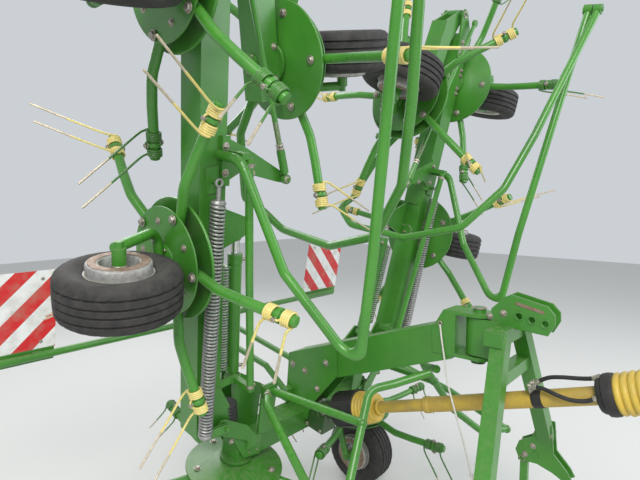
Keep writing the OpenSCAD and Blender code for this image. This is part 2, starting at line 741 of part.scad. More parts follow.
centre_frame();
drawbar();
gearbox();
front_guard();
rear_frame();
warning_boards();
pto_tube();
pto_cones();
headstock();
rope();
hose_upper();
hose_lower();
for (side = [-1, 1]) {
    name = side > 0 ? "left" : "right";
    stand(side);
    wing_beam(side);
    outer_beam_solid(side);
    link_rod(side);
    lift_spring(side);
    fold_barrel(side);
    fold_rod(side);
    for (k = [1:4]) {
        color(green) rotor(k, side);
        color(k % 2 == 0 ? yellow : green) tines(k, side);
        color(rim_white) rim(k, side);
        color(rubber) tyre(k, side);
    }
}
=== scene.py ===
import math

import bmesh
import bpy
from mathutils import Matrix, Vector


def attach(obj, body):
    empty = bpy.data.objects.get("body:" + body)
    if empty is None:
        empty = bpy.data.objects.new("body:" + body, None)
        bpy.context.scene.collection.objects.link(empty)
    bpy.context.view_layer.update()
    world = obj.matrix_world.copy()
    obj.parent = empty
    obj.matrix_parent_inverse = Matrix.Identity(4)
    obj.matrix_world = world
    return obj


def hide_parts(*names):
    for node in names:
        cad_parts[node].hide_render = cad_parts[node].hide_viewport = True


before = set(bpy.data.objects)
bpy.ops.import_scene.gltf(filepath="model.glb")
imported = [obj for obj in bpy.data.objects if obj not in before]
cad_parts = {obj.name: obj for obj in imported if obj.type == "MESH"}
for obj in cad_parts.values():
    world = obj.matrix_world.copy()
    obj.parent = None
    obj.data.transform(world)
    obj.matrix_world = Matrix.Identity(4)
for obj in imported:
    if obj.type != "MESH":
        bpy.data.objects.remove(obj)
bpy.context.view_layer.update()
SIDES = (("right", -1), ("left", 1))
ROTORS = (1, 2, 3, 4)

# Places, in millimetres

# the machine's frame is tipped nose-down; a wing's frame starts at its hinge, an outer section's at its own
TIP, FOLD1, FOLD2 = math.radians(11), math.radians(84.3), math.radians(171)
# the row is moved back so that the part's box has its middle at x = 0
SHIFT = -512.9055
# a wheel's centre is ahead of its rotor's axis and below the rim plane of the bell
TYRE_R, WHEEL_FWD, WHEEL_DROP = 203, 100, 276
BELL_Z = (TYRE_R + math.sin(TIP) * WHEEL_FWD) / math.cos(TIP) + WHEEL_DROP
PITCH = 967.0
# hinges outboard of the nearest rotor inside them, and above the rim plane
HINGE1_OUT, HINGE1_UP = 95.5, 260
HINGE2_OUT, HINGE2_UP = 360, 200
HINGE1 = Vector((0, PITCH / 2 + HINGE1_OUT, BELL_Z + HINGE1_UP))
# each rotor's distance outward in the frame that carries it
ROTOR_OUT = {1: PITCH / 2, 2: PITCH - HINGE1_OUT, 3: 2 * PITCH - HINGE1_OUT, 4: PITCH - HINGE2_OUT}
HINGE2 = Vector((0, ROTOR_OUT[3] + HINGE2_OUT, HINGE2_UP - HINGE1_UP))
# rotor phases of the even and the odd rotors, in degrees
PHASE = {-1: (-3, 39), 1: (33, 3)}
# tubes and beams; LUG_X1 and LUG_X2 are the outer faces of the lugs at the two hinges
GUARD_R, LEG_R, LEG_OUT = 17.0, 18, 118
BEAM, OUTER_BEAM, LUG_GAP, LUG = 120, 100, 6, 12
LUG_X1, LUG_X2 = BEAM / 2 + LUG_GAP + LUG, OUTER_BEAM / 2 + LUG_GAP + LUG


def move(x, y, z):
    """A shift."""
    return Matrix.Translation((x, y, z))


def turned(degrees):
    """A turn about z."""
    return Matrix.Rotation(math.radians(degrees), 4, "Z")


def angles(n):
    """The angles of n steps round a circle, first and last included."""
    return [2 * math.pi * i / n for i in range(n + 1)]


LEVEL = move(SHIFT, 0, 0)
MACHINE = LEVEL @ Matrix.Rotation(TIP, 4, "Y")
WING = MACHINE @ Matrix.Translation(HINGE1) @ Matrix.Rotation(FOLD1, 4, "X")
OUTER = WING @ Matrix.Translation(HINGE2) @ Matrix.Rotation(FOLD2, 4, "X")
# the power shaft rises from the gearbox; along it z is the distance from its foot
PTO_UP, PTO_ANGLE = 118, 29.1
PTO = MACHINE @ move(0, 0, BELL_Z + PTO_UP) @ Matrix.Rotation(math.radians(90 - PTO_ANGLE), 4, "Y")
FLIP = Matrix.Rotation(math.pi, 4, "X")


def rotor_frame(k):
    """Where rotor k stands, with z along its axis and 0 at the bell's rim plane."""
    if k == 1:
        return MACHINE @ move(0, ROTOR_OUT[1], BELL_Z)
    if k == 4:
        return OUTER @ move(0, ROTOR_OUT[4], -HINGE2_UP)
    return WING @ move(0, ROTOR_OUT[k], -HINGE1_UP)


def wing_point(x, o, z):
    """A point of the wing's frame, in the machine's frame."""
    return HINGE1 + Vector((x, o * math.cos(FOLD1) - z * math.sin(FOLD1),
                            o * math.sin(FOLD1) + z * math.cos(FOLD1)))


# Materials

def material(name):
    """A new material with its node tree and its shader."""
    m = bpy.data.materials.new(name)
    m.use_nodes = True
    nt = m.node_tree
    nt.nodes.clear()
    out = nt.nodes.new("ShaderNodeOutputMaterial")
    shader = nt.nodes.new("ShaderNodeBsdfPrincipled")
    nt.links.new(shader.outputs[0], out.inputs[0])
    return m, nt, shader


def add(nt, kind, **values):
    """A node, with values for its sockets or its own settings."""
    n = nt.nodes.new(kind)
    for key, v in values.items():
        if key in n.inputs:
            n.inputs[key].default_value = v
        else:
            setattr(n, key, v)
    return n


def noise(nt, coords, scale, detail=4.0, rough=0.55):
    """Noise between 0 and 1."""
    n = add(nt, "ShaderNodeTexNoise", Scale=scale, Detail=detail, Roughness=rough)
    nt.links.new(coords, n.inputs["Vector"])
    return n.outputs["Fac"]


def ramp(nt, value, stops):
    """The value through a ramp of (position, grey) stops."""
    n = nt.nodes.new("ShaderNodeValToRGB")
    e = n.color_ramp.elements
    while len(e) < len(stops):
        e.new(0.5)
    for el, (pos, grey) in zip(e, stops):
        el.position = pos
        el.color = (grey, grey, grey, 1)
    nt.links.new(value, n.inputs["Fac"])
    return n.outputs["Color"]


def feed(nt, socket, value):
    """Sets a socket to a constant, or links it to another node's output."""
    if isinstance(value, (int, float, tuple)):
        socket.default_value = value
    else:
        nt.links.new(value, socket)


def mix(nt, fac, a, b):
    """Colour a turned into colour b by fac."""
    n = nt.nodes.new("ShaderNodeMix")
    n.data_type = "RGBA"
    for socket, v in ((n.inputs[0], fac), (n.inputs[6], a), (n.inputs[7], b)):
        feed(nt, socket, v)
    return n.outputs[2]


def math_node(nt, op, a, b=None, clamp=False):
    """One step of arithmetic on one or two values."""
    n = nt.nodes.new("ShaderNodeMath")
    n.operation = op
    n.use_clamp = clamp
    feed(nt, n.inputs[0], a)
    if b is not None:
        feed(nt, n.inputs[1], b)
    return n.outputs[0]


def product(nt, a, b, clamp=False):
    """Two values multiplied."""
    return math_node(nt, "MULTIPLY", a, b, clamp)


def rgb(colour):
    """A colour with full opacity."""
    return colour + (1.0,)


def coordinates(nt):
    """The object's own coordinates, in metres."""
    return nt.nodes.new("ShaderNodeTexCoord").outputs["Object"]


def soft_normal(nt):
    """The normal with sharp edges rounded over."""
    return add(nt, "ShaderNodeBevel", samples=4, Radius=0.004).outputs[0]


def upward(nt):
    """How much a face looks up."""
    sep = nt.nodes.new("ShaderNodeSeparateXYZ")
    nt.links.new(nt.nodes.new("ShaderNodeNewGeometry").outputs["Normal"], sep.inputs[0])
    return sep.outputs[2]


def edges(nt, soft):
    """How near an edge is, from the rounded normal against the true one."""
    dot = add(nt, "ShaderNodeVectorMath", operation="DOT_PRODUCT")
    nt.links.new(soft, dot.inputs[0])
    nt.links.new(nt.nodes.new("ShaderNodeNewGeometry").outputs["True Normal"], dot.inputs[1])
    return math_node(nt, "SUBTRACT", 1.0, dot.outputs["Value"], clamp=True)


def bumps(nt, sh, height, soft, strength, distance):
    """Fine unevenness over the rounded normal."""
    bump = add(nt, "ShaderNodeBump", Strength=strength, Distance=distance)
    nt.links.new(height, bump.inputs["Height"])
    nt.links.new(soft, bump.inputs["Normal"])
    nt.links.new(bump.outputs[0], sh.inputs["Normal"])


def painted(name, base, dark, dust=(0.30, 0.27, 0.20), dust_amount=0.35, gloss=0.32,
            bare=(0.22, 0.2, 0.18), wear=0.55):
    """Enamel with dust on top and bare metal at its edges and scratches."""
    m, nt, sh = material(name)
    tc, up, soft = coordinates(nt), upward(nt), soft_normal(nt)
    big = noise(nt, tc, 3.1, 3)
    fine = noise(nt, tc, 46, 6, 0.65)
    col = mix(nt, ramp(nt, big, [(0.35, 0.0), (0.7, 1.0)]), rgb(base), rgb(dark))
    # dust lies on what faces up, in patches
    patch = ramp(nt, fine, [(0.38, 0.0), (0.75, 1.0)])
    high = ramp(nt, up, [(0.1, 0.12), (0.85, 1.0)])
    amount = product(nt, product(nt, patch, high), dust_amount, clamp=True)
    col = mix(nt, amount, col, rgb(dust))
    # paint rubbed off along edges and in small scratches
    rub = product(nt, ramp(nt, edges(nt, soft), [(0.02, 0.0), (0.16, 1.0)]),
                  ramp(nt, noise(nt, tc, 30, 5, 0.7), [(0.47, 0.0), (0.60, 1.0)]))
    chip = ramp(nt, noise(nt, tc, 95, 3, 0.8), [(0.735, 0.0), (0.76, 1.0)])
    bareness = product(nt, math_node(nt, "MAXIMUM", rub, chip), wear, clamp=True)
    col = mix(nt, bareness, col, rgb(bare))
    nt.links.new(col, sh.inputs["Base Color"])
    rough = math_node(nt, "ADD", product(nt, fine, 0.22), product(nt, amount, 0.5))
    nt.links.new(math_node(nt, "ADD", rough, gloss - 0.1, clamp=True), sh.inputs["Roughness"])
    sh.inputs["Coat Weight"].default_value = 0.25
    sh.inputs["Coat Roughness"].default_value = 0.2
    bumps(nt, sh, noise(nt, tc, 160, 3), soft, 0.12, 0.002)
    return m


def metal(name, base, dark, rough=0.42, rust=0.0, metallic=0.85):
    """Plain or plated metal with spots of rust."""
    m, nt, sh = material(name)
    tc = coordinates(nt)
    fine = noise(nt, tc, 60, 5, 0.65)
    col = mix(nt, ramp(nt, fine, [(0.35, 0.0), (0.7, 1.0)]), rgb(base), rgb(dark))
    spots = ramp(nt, noise(nt, tc, 22, 6, 0.7), [(0.5 - rust * 0.15, 0.0), (0.68, 1.0)])
    amount = product(nt, spots, rust, clamp=True)
    col = mix(nt, amount, col, (0.20, 0.085, 0.035, 1))
    nt.links.new(col, sh.inputs["Base Color"])
    shine = math_node(nt, "SUBTRACT", metallic, product(nt, amount, metallic), clamp=True)
    nt.links.new(shine, sh.inputs["Metallic"])
    nt.links.new(math_node(nt, "ADD", product(nt, fine, 0.25), rough - 0.12, clamp=True),
                 sh.inputs["Roughness"])
    bumps(nt, sh, fine, soft_normal(nt), 0.2, 0.001)
    return m


def matt(name, base, dust, amount=0.5, rough=0.75, scale=28):
    """Rubber, plastic or rope, paler where it is worn or dusty."""
    m, nt, sh = material(name)
    tc = coordinates(nt)
    fine = noise(nt, tc, scale, 6, 0.65)
    worn = product(nt, ramp(nt, fine, [(0.35, 0.0), (0.72, 1.0)]), amount)
    lying = product(nt, ramp(nt, upward(nt), [(0.3, 0.0), (1.0, 1.0)]), amount * 0.5)
    worn = math_node(nt, "ADD", worn, lying, clamp=True)
    nt.links.new(mix(nt, worn, rgb(base), rgb(dust)), sh.inputs["Base Color"])
    nt.links.new(math_node(nt, "ADD", product(nt, fine, 0.2), rough - 0.1, clamp=True),
                 sh.inputs["Roughness"])
    bumps(nt, sh, noise(nt, tc, 120, 4), soft_normal(nt), 0.25, 0.002)
    return m


def striped_board():
    """Red and white stripes that fall away from the machine's middle on both sides."""
    stripe_pair = 0.2
    m, nt, sh = material("board_stripes")
    tc = coordinates(nt)
    sep = nt.nodes.new("ShaderNodeSeparateXYZ")
    nt.links.new(tc, sep.inputs[0])
    slant = math_node(nt, "ADD", sep.outputs[2], math_node(nt, "ABSOLUTE", sep.outputs[1]))
    wave = math_node(nt, "MODULO", math_node(nt, "ADD", product(nt, slant, 1 / stripe_pair), 40.0), 1.0)
    red = math_node(nt, "GREATER_THAN", wave, 0.5)
    grime = ramp(nt, noise(nt, tc, 14, 5, 0.6), [(0.45, 0.0), (0.8, 0.55)])
    col = mix(nt, red, (0.80, 0.80, 0.80, 1), (0.62, 0.02, 0.025, 1))
    col = mix(nt, grime, col, (0.33, 0.29, 0.22, 1))
    nt.links.new(col, sh.inputs["Base Color"])
    sh.inputs["Roughness"].default_value = 0.35
    return m


GREEN = painted("green_enamel", (0.050, 0.235, 0.020), (0.033, 0.170, 0.016))
GREEN_TUBE = painted("green_tube", (0.055, 0.255, 0.022), (0.040, 0.195, 0.018), gloss=0.28,
                     dust_amount=0.2)
GREEN_OLD = painted("green_oily", (0.030, 0.120, 0.016), (0.016, 0.055, 0.012), dust_amount=0.5,
                    gloss=0.45)
CREAM = painted("spring_cream", (0.78, 0.66, 0.22), (0.66, 0.53, 0.16), dust=(0.35, 0.28, 0.15),
                wear=0.7, gloss=0.38, bare=(0.25, 0.20, 0.14))
TINE_GREEN = painted("spring_green", (0.045, 0.215, 0.020), (0.03, 0.14, 0.015), wear=0.8, gloss=0.35)
WIRE = metal("tine_wire", (0.66, 0.58, 0.44), (0.46, 0.39, 0.28), rust=0.2, metallic=0.45)
ZINC = metal("zinc_spring", (0.47, 0.47, 0.46), (0.31, 0.31, 0.31), rust=0.2)
BOLT = metal("bolt_zinc", (0.50, 0.47, 0.40), (0.30, 0.28, 0.24), rust=0.3)
CHROME = metal("rod_chrome", (0.75, 0.75, 0.76), (0.60, 0.60, 0.62), rough=0.2, metallic=0.95)
RIM = painted("rim_white", (0.50, 0.49, 0.44), (0.36, 0.35, 0.31), dust_amount=0.6, wear=1.0,
              gloss=0.5, bare=(0.16, 0.09, 0.05))
HUB = metal("hub_steel", (0.50, 0.51, 0.50), (0.33, 0.33, 0.31), rust=0.35, metallic=0.5, rough=0.5)
RUSTY = metal("worn_steel", (0.36, 0.28, 0.22), (0.20, 0.12, 0.08), rust=0.5, metallic=0.6, rough=0.55)
TYRE = matt("tyre_rubber", (0.014, 0.014, 0.015), (0.075, 0.068, 0.060), amount=0.55)
BLACK = matt("black_rubber", (0.012, 0.012, 0.013), (0.05, 0.047, 0.042), amount=0.4, rough=0.6)
GUARD_YELLOW = matt("shaft_yellow", (0.50, 0.34, 0.045), (0.22, 0.17, 0.08), amount=0.55, rough=0.5,
                    scale=16)
CONE_YELLOW = matt("cone_yellow", (0.62, 0.44, 0.06), (0.30, 0.22, 0.08), amount=0.45, rough=0.45,
                   scale=18)
ROPE = matt("rope_white", (0.62, 0.61, 0.57), (0.35, 0.32, 0.27), amount=0.4, rough=0.85, scale=60)
BOARD = striped_board()


def node_finish(name):
    """The kept CAD nodes are green enamel, apart from the rims, the cylinder rods and the gearbox."""
    if name.startswith("rim"):
        return RIM
    if name.startswith("fold_rod"):
        return CHROME
    return GREEN_OLD if name == "gearbox" else GREEN


for name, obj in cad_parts.items():
    obj.data.materials.clear()
    obj.data.materials.append(node_finish(name))


# Mesh making

SMOOTH = math.radians(35)


class Shape:
    """Vertices in metres of the shared frame, and faces with a material number each."""

    def __init__(self):
        self.v, self.f, self.m = [], [], []

    def put(self, verts, faces, place, slot=0, mirror=1):
        """Adds a form given in millimetres at a place; mirror -1 makes its right-hand twin."""
        base = len(self.v)
        for p in verts:
            q = place @ Vector(p)
            self.v.append((q.x / 1000, mirror * q.y / 1000, q.z / 1000))
        for f in faces:
            ids = [base + i for i in f]
            self.f.append(ids[::-1] if mirror < 0 else ids)
            self.m.append(slot)

    def piece(self, name, body, materials, record_slot):
        """Makes the object and lets it ride on its body; record_slot, its slot of the record, is not used.
        """
        me = bpy.data.meshes.new(name)
        me.from_pydata(self.v, [], self.f)
        for mat in materials:
            me.materials.append(mat)
        me.polygons.foreach_set("material_index", self.m)
        me.polygons.foreach_set("use_smooth", [True] * len(self.f))
        me.update()
        me.set_sharp_from_angle(angle=SMOOTH)
        ob = bpy.data.objects.new(name, me)
        bpy.context.scene.collection.objects.link(ob)
        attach(ob, body)
        return ob


def ring_faces(rows, n, caps=True, closed=False):
    """Quads between rows of n points, with flat ends or closed into a ring."""
    faces = []
    last = rows if closed else rows - 1
    for i in range(last):
        for j in range(n):
            a, b = i * n + j, i * n + (j + 1) % n
            c, d = ((i + 1) % rows) * n + (j + 1) % n, ((i + 1) % rows) * n + j
            faces.append((a, b, c, d))
    if caps and not closed:
        faces.append(tuple(range(n))[::-1])
        faces.append(tuple((rows - 1) * n + j for j in range(n)))
    return faces


def sweep(points, r, n, caps=True, radii=None):
    """A round tube along the points, without twist; radii gives each point its own radius."""
    pts = [Vector(p) for p in points]
    tang = [(pts[min(i + 1, len(pts) - 1)] - pts[max(i - 1, 0)]).normalized() for i in range(len(pts))]
    side = tang[0].orthogonal().normalized()
    verts = []
    for i, (p, t) in enumerate(zip(pts, tang)):
        side = (side - t * side.dot(t)).normalized()
        up = t.cross(side)
        rr = radii[i] if radii else r
        for j in range(n):
            a = 2 * math.pi * j / n
            verts.append(p + rr * (math.cos(a) * side + math.sin(a) * up))
    return verts, ring_faces(len(pts), n, caps)


def rounded(points, bend, step=6):
    """The points of a polyline with each corner turned into an arc, in steps of so many degrees."""
    pts = [Vector(p) for p in points]
    out = [pts[0]]
    for i in range(1, len(pts) - 1):
        u, v = (pts[i] - pts[i - 1]).normalized(), (pts[i + 1] - pts[i]).normalized()
        angle = u.angle(v, 0)
        if angle < 0.01:
            out.append(pts[i])
            continue
        room = 0.45 * min((pts[i] - pts[i - 1]).length, (pts[i + 1] - pts[i]).length)
        back = min(bend * math.tan(angle / 2), room)
        radius = back / math.tan(angle / 2)
        side = (v - u * u.dot(v)).normalized()
        start = pts[i] - u * back
        centre = start + side * radius
        n = max(2, math.ceil(math.degrees(angle) / step))
        for k in range(n + 1):
            a = angle * k / n
            out.append(centre + radius * (math.sin(a) * u - math.cos(a) * side))
    out.append(pts[-1])
    return out


def smooth_path(points, step):
    """A Catmull-Rom curve through the points."""
    pts = [Vector(p) for p in points]
    pts = [2 * pts[0] - pts[1]] + pts + [2 * pts[-1] - pts[-2]]
    out = []
    for i in range(1, len(pts) - 2):
        a, b, c, d = pts[i - 1:i + 3]
        n = max(2, int((c - b).length / step))
        for k in range(n):
            t = k / n
            out.append(0.5 * (2 * b + (c - a) * t + (2 * a - 5 * b + 4 * c - d) * t * t
                              + (3 * b - a - 3 * c + d) * t ** 3))
    out.append(pts[-2])
    return out


def helix(a, b, radius, turns, per_turn):
    """Points of a coil from a to b."""
    a, b = Vector(a), Vector(b)
    axis = (b - a).normalized()
    side = axis.orthogonal().normalized()
    up = axis.cross(side)
    n = turns * per_turn
    points = []
    for i in range(n + 1):
        t = 2 * math.pi * i / per_turn
        points.append(a + (b - a) * (i / n) + radius * (math.cos(t) * side + math.sin(t) * up))
    return points


def lathe(profile, n, closed=False):
    """A profile of (radius, height) turned about z."""
    verts = [(r * math.cos(2 * math.pi * j / n), r * math.sin(2 * math.pi * j / n), z)
             for r, z in profile for j in range(n)]
    return verts, ring_faces(len(profile), n, caps=not closed, closed=closed)


def hexagon(r, h, washer=0.0):
    """A bolt head with a chamfered top, standing on z = 0, on a washer."""
    verts, faces = [], []
    if washer:
        verts, faces = lathe([(washer, 0), (washer, h * 0.18), (washer * 0.97, h * 0.22)], 20)
    base = len(verts)
    low = h * 0.22 if washer else 0
    for z, k in ((low, 1.0), (h * 0.82, 1.0), (h, 0.86)):
        verts += [(r * k * math.cos(math.pi * j / 3), r * k * math.sin(math.pi * j / 3), z)
                  for j in range(6)]
    faces = faces + [tuple(base + i for i in f) for f in ring_faces(3, 6)]
    return verts, faces


def block(lo, hi, bevel):
    """A box with bevelled edges."""
    bm = bmesh.new()
    bmesh.ops.create_cube(bm, size=1.0)
    size = [h - l for l, h in zip(lo, hi)]
    for v in bm.verts:
        v.co = Vector([l + s * (c + 0.5) for l, s, c in zip(lo, size, v.co)])
    bmesh.ops.bevel(bm, geom=bm.edges[:], offset=bevel, segments=2, affect="EDGES")
    bm.verts.index_update()
    verts = [v.co.copy() for v in bm.verts]
    faces = [tuple(v.index for v in f.verts) for f in bm.faces]
    bm.free()
    return verts, faces


def toward(direction, at):
    """A place whose z axis points along direction."""
    return Matrix.Translation(at) @ Vector(direction).to_track_quat("Z", "X").to_matrix().to_4x4()


# Camera and cords

# the photo's camera, solved from the drive shaft, the wheels on the ground and the hitch
CAMERA_AT = (1.96 + SHIFT / 1000, -2.004, 1.803)
YAW, DIP = math.radians(130.7), math.radians(-4.8)
LENS, SENSOR = 28.125, 36.0
scene = bpy.context.scene
cam = bpy.data.cameras.new("camera")
cam.lens, cam.sensor_width = LENS, SENSOR
cam_ob = bpy.data.objects.new("camera", cam)
scene.collection.objects.link(cam_ob)
look = Vector((math.cos(YAW) * math.cos(DIP), math.sin(YAW) * math.cos(DIP), math.sin(DIP)))
cam_ob.matrix_world = Matrix.Translation(CAMERA_AT) @ look.to_track_quat("-Z", "Y").to_matrix().to_4x4()
scene.camera = cam_ob

# each cord: thickness, finish, stiffness, lay, far end, slot of the record, route
CORDS = {
    "rope": (8, ROPE, "limp", "hanging", "knot", "white_rope",
             [(975, -68, 1262), (985, -70, 1200), (1000, -72, 1120), (1015, -74, 1030),
              (1050, -76, 920), (1085, -78, 820), (1115, -80, 730), (1140, -82, 650)]),
    "hose_upper": (16, BLACK, "stiff", "loose", "object", "black_rubber",
                   [(1350, 0, 1076), (1400, 5, 1108), (1450, 5, 1122), (1500, 5, 1130),
                    (1545, 3, 1140), (1572, 0, 1152)]),
    "hose_lower": (16, BLACK, "stiff", "loose", "object", "black_rubber",
                   [(1350, -40, 1076), (1400, -50, 1080), (1450, -60, 1072), (1500, -60, 1066),
                    (1550, -54, 1074), (1586, -50, 1096)]),
}
for name, (dia, mat, stiff, lay, far, slot, route) in CORDS.items():
    pts = smooth_path(route, 12)
    s = Shape()
    s.put(*sweep(pts, dia / 2, 12), LEVEL)
    ob = s.piece(name + "_cord", "frame", [mat], slot)
    path = [tuple((LEVEL @ p) / 1000) for p in pts]
    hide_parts(name)
    ends = Shape()
    first, last = (pts[0] - pts[1]).normalized(), (pts[-1] - pts[-2]).normalized()
    with_it = []
    if name == "rope":
        # knot at the free end with its frayed stub, and the eye it hangs from
        knot = Shape()
        turn = [pts[-1] + Vector((7 * math.sin(a), 7 * math.cos(a), 5 * math.sin(2 * a)))
                for a in angles(20)]
        knot.put(*sweep(turn, 3.8, 10), LEVEL)
        stub = [pts[-1] + last * t for t in (0, 8, 20, 26)]
        knot.put(*sweep(stub, 4, 10, radii=[3.8, 3.8, 3.6, 4.6]), LEVEL)
        with_it = [knot.piece("rope_knot", "frame", [mat], slot)]
        eye = [pts[0] + Vector((9 * math.sin(a), 0, 9 * math.cos(a) + 4)) for a in angles(20)]
        ends.put(*sweep(eye, 2.6, 8), LEVEL)
        ends.put(*sweep([pts[0] + Vector((0, 5, 13)), pts[0] + Vector((0, -3, 13))], 4, 8), LEVEL)
    else:
        # a crimped sleeve with its hexagon on both ends
        for at, way, n in ((pts[0], -first, 30), (pts[-1], -last, 26)):
            spot = LEVEL @ toward(way, at - way * 9)
            ends.put(*lathe([(0.5, 0), (8.4, 0), (10, 2), (10, n), (9.3, n + 3), (8.2, n + 3)], 20), spot)
            ends.put(*hexagon(12, 9), spot)
    ends.piece(name + "_ends", "frame", [BOLT], "steel")

# Rotors

# a bell's outline from its bore round the bottom plate, hub and rim, as (radius, height)
BELL = [(25.2, -50), (205, -50), (206, -49), (206, -45), (205, -44), (62, -44), (60, -42), (60, 33),
        (93, 31), (148, 15), (222, 0), (229, -4), (234, -4), (235.5, -2), (235.5, 4), (234, 6),
        (225, 8), (190, 15.5), (150, 24), (120, 32), (95, 40), (60, 44), (25.2, 44)]
ARMS = 5
ARM = [(62, 0, -20), (190, 0, -24), (320, 0, -42), (430, 0, -26), (630, 0, 14)]
ARM_R = 19.2
# the straight end of an arm, from its fourth point on
ARM_SLOPE = math.atan2(40, 200)
ARM_END = math.hypot(40, 200)
COIL_W, COIL_GAP, COIL_R, WIRE_R = 44, 22, 29, 4.5
# the far edge of the outer coil and the near edge of the inner one, along the arm's end
COIL_LAST = ARM_END - 4
COIL_FIRST = COIL_LAST - 2 * COIL_W - COIL_GAP
LEAN, DROP = 140, 266


def arm_frame(place, i):
    """Where the straight end of arm i starts, with x along it."""
    return place @ turned(360 / ARMS * i) @ Matrix.Translation(ARM[3]) @ Matrix.Rotation(-ARM_SLOPE, 4, "Y")


def rotor_shape(place, mirror):
    """A bell with its arms, clamps and bolts."""
    s = Shape()
    s.put(*lathe(BELL, 96), place, 0, mirror)
    for i in range(ARMS):
        turn = place @ turned(360 / ARMS * i)
        s.put(*sweep(rounded(ARM, 150), ARM_R, 20), turn, 1, mirror)
        end = arm_frame(place, i)
        s.put(*lathe([(19.3, 0), (19.3, 3), (15, 5)], 20), end @ toward((1, 0, 0), (ARM_END, 0, 0)),
              1, mirror)
        # bolt through the arm's root, heads on both plates
        s.put(*hexagon(14, 12, 19), turn @ move(186, 0, -55) @ FLIP, 2, mirror)
        s.put(*hexagon(13, 11, 18), turn @ move(186, 0, 17), 2, mirror)
        # bolt between two arms
        s.put(*hexagon(9, 8, 14), turn @ turned(36) @ move(150, 0, -50) @ FLIP, 2, mirror)
        # clamp between the coils and its bolt
        mid = COIL_LAST - COIL_W - COIL_GAP / 2
        s.put(*lathe([(19.3, -8), (25, -8), (26.5, -6), (26.5, 6), (25, 8), (19.3, 8)], 24),
              end @ toward((1, 0, 0), (mid, 0, 0)), 1, mirror)
        s.put(*hexagon(10, 9, 13), end @ move(mid, 0, 26), 2, mirror)
        s.put(*sweep([(mid, 0, 20), (mid, 0, -40)], 5, 10), end, 2, mirror)
        s.put(*hexagon(9, 8), end @ move(mid, 0, -34) @ FLIP, 2, mirror)
    # cap and screws under the hub
    s.put(*lathe([(66, -50), (66, -54), (60, -57), (34, -58), (25.2, -58)], 40), place, 0, mirror)
    for i in range(6):
        s.put(*hexagon(7, 6), place @ turned(60 * i + 12) @ move(50, 0, -57) @ FLIP, 2, mirror)
    return s


def tine_shape(place, mirror):
    """The double tines of a rotor: two coils on each arm, a leg on each and a loop between them."""
    s = Shape()
    core = COIL_R - WIRE_R
    turns = COIL_W / (2 * WIRE_R + 0.3) - 0.5
    n = int(turns * 18)
    for i in range(ARMS):
        end = arm_frame(place, i)
        for near, far, sign in ((COIL_FIRST, COIL_FIRST + COIL_W, 1), (COIL_LAST, COIL_LAST - COIL_W, -1)):
            x0, x1 = near + sign * (WIRE_R + 1), far - sign * WIRE_R
            coil = []
            for k in range(n + 1):
                a = sign * 2 * math.pi * turns * k / n
                coil.append(Vector((x0 + (x1 - x0) * k / n, -core * math.cos(a), -core * math.sin(a))))
            # the leg leaves the coil along its own tangent and leans outward
            tip = Vector((x0 + LEAN, -4, -COIL_R - DROP))
            leg = smooth_path([tip, tip.lerp(coil[0], 0.5) + Vector((-14, 0, 8)),
                               coil[0] + Vector((3, 0.5, -38)), coil[0]], 22)[:-1]
            s.put(*sweep(coil, WIRE_R, 10), end, 0, mirror)
            # bare wire from the tip to the knee, paint from there to the coil
            knee = max(2, len(leg) // 2)
            s.put(*sweep(leg[:knee], WIRE_R * 0.92, 8), end, 1, mirror)
            s.put(*sweep(leg[knee - 1:] + [coil[0], coil[1]], WIRE_R, 8), end, 0, mirror)
        # the loop that joins the two coils under the clamp
        a, b = COIL_FIRST + COIL_W - WIRE_R, COIL_LAST - COIL_W + WIRE_R
        loop = [(a, 0, -core), (a + 3, 0, -core - 8), ((a + b) / 2, 0, -core - 11),
                (b - 3, 0, -core - 8), (b, 0, -core)]
        s.put(*sweep(smooth_path(loop, 5), WIRE_R * 0.9, 8), end, 0, mirror)
    return s


for side_name, side in SIDES:
    for k in ROTORS:
        body = f"rotor_{k}_{side_name}"
        place = rotor_frame(k) @ turned(PHASE[side][k % 2])
        ob = rotor_shape(place, side).piece(f"rotor_dress_{k}_{side_name}", body,
                                            [GREEN, GREEN_TUBE, BOLT], "green_paint")
        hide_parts(body)
        coat = CREAM if k % 2 == 0 else TINE_GREEN
        ob = tine_shape(place, side).piece(f"tine_set_{k}_{side_name}", body, [coat, WIRE], "spring_yellow")
        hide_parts(f"tines_{k}_{side_name}")

# Wheels

# half of the tyre's outline as (radius, height), from the bead to the middle rib
TYRE_HALF = [(105, 58), (111, 64), (118, 69), (150, 80), (166, 82), (184, 77), (196, 66.5), (200.5, 57),
             (202, 46), (195, 45), (195, 38), (202.6, 37), (202.8, 17), (196, 16), (196, 10), (203, 9)]
TYRE_PROFILE = [(r, -z) for r, z in TYRE_HALF] + TYRE_HALF[::-1]
TYRE_W = 165
# from a leg's line to the near side of its tyre
LEG_GAP = 64


def leg_way(k):
    """The legs of the centre rotors stand inboard of their axis, the others outboard."""
    return -1 if k == 1 else 1


def tyre_shape(place, mirror):
    """A ribbed tyre with cuts across its shoulders, every fourth step round it."""
    s = Shape()
    n = 120
    verts = []
    for r, z in TYRE_PROFILE:
        for j in range(n):
            a = 2 * math.pi * j / n
            rr = r
            if j % 4 == 0 and 199 < r < 202.5 and 44 < abs(z) < 60:
                rr -= 3.2
            elif j % 4 == 0 and 184 <= r <= 196.2 and abs(z) > 60:
                rr -= 1.6
            verts.append((rr * math.cos(a), rr * math.sin(a), z))
    s.put(verts, ring_faces(len(TYRE_PROFILE), n, caps=False, closed=True), place, 0, mirror)
    return s


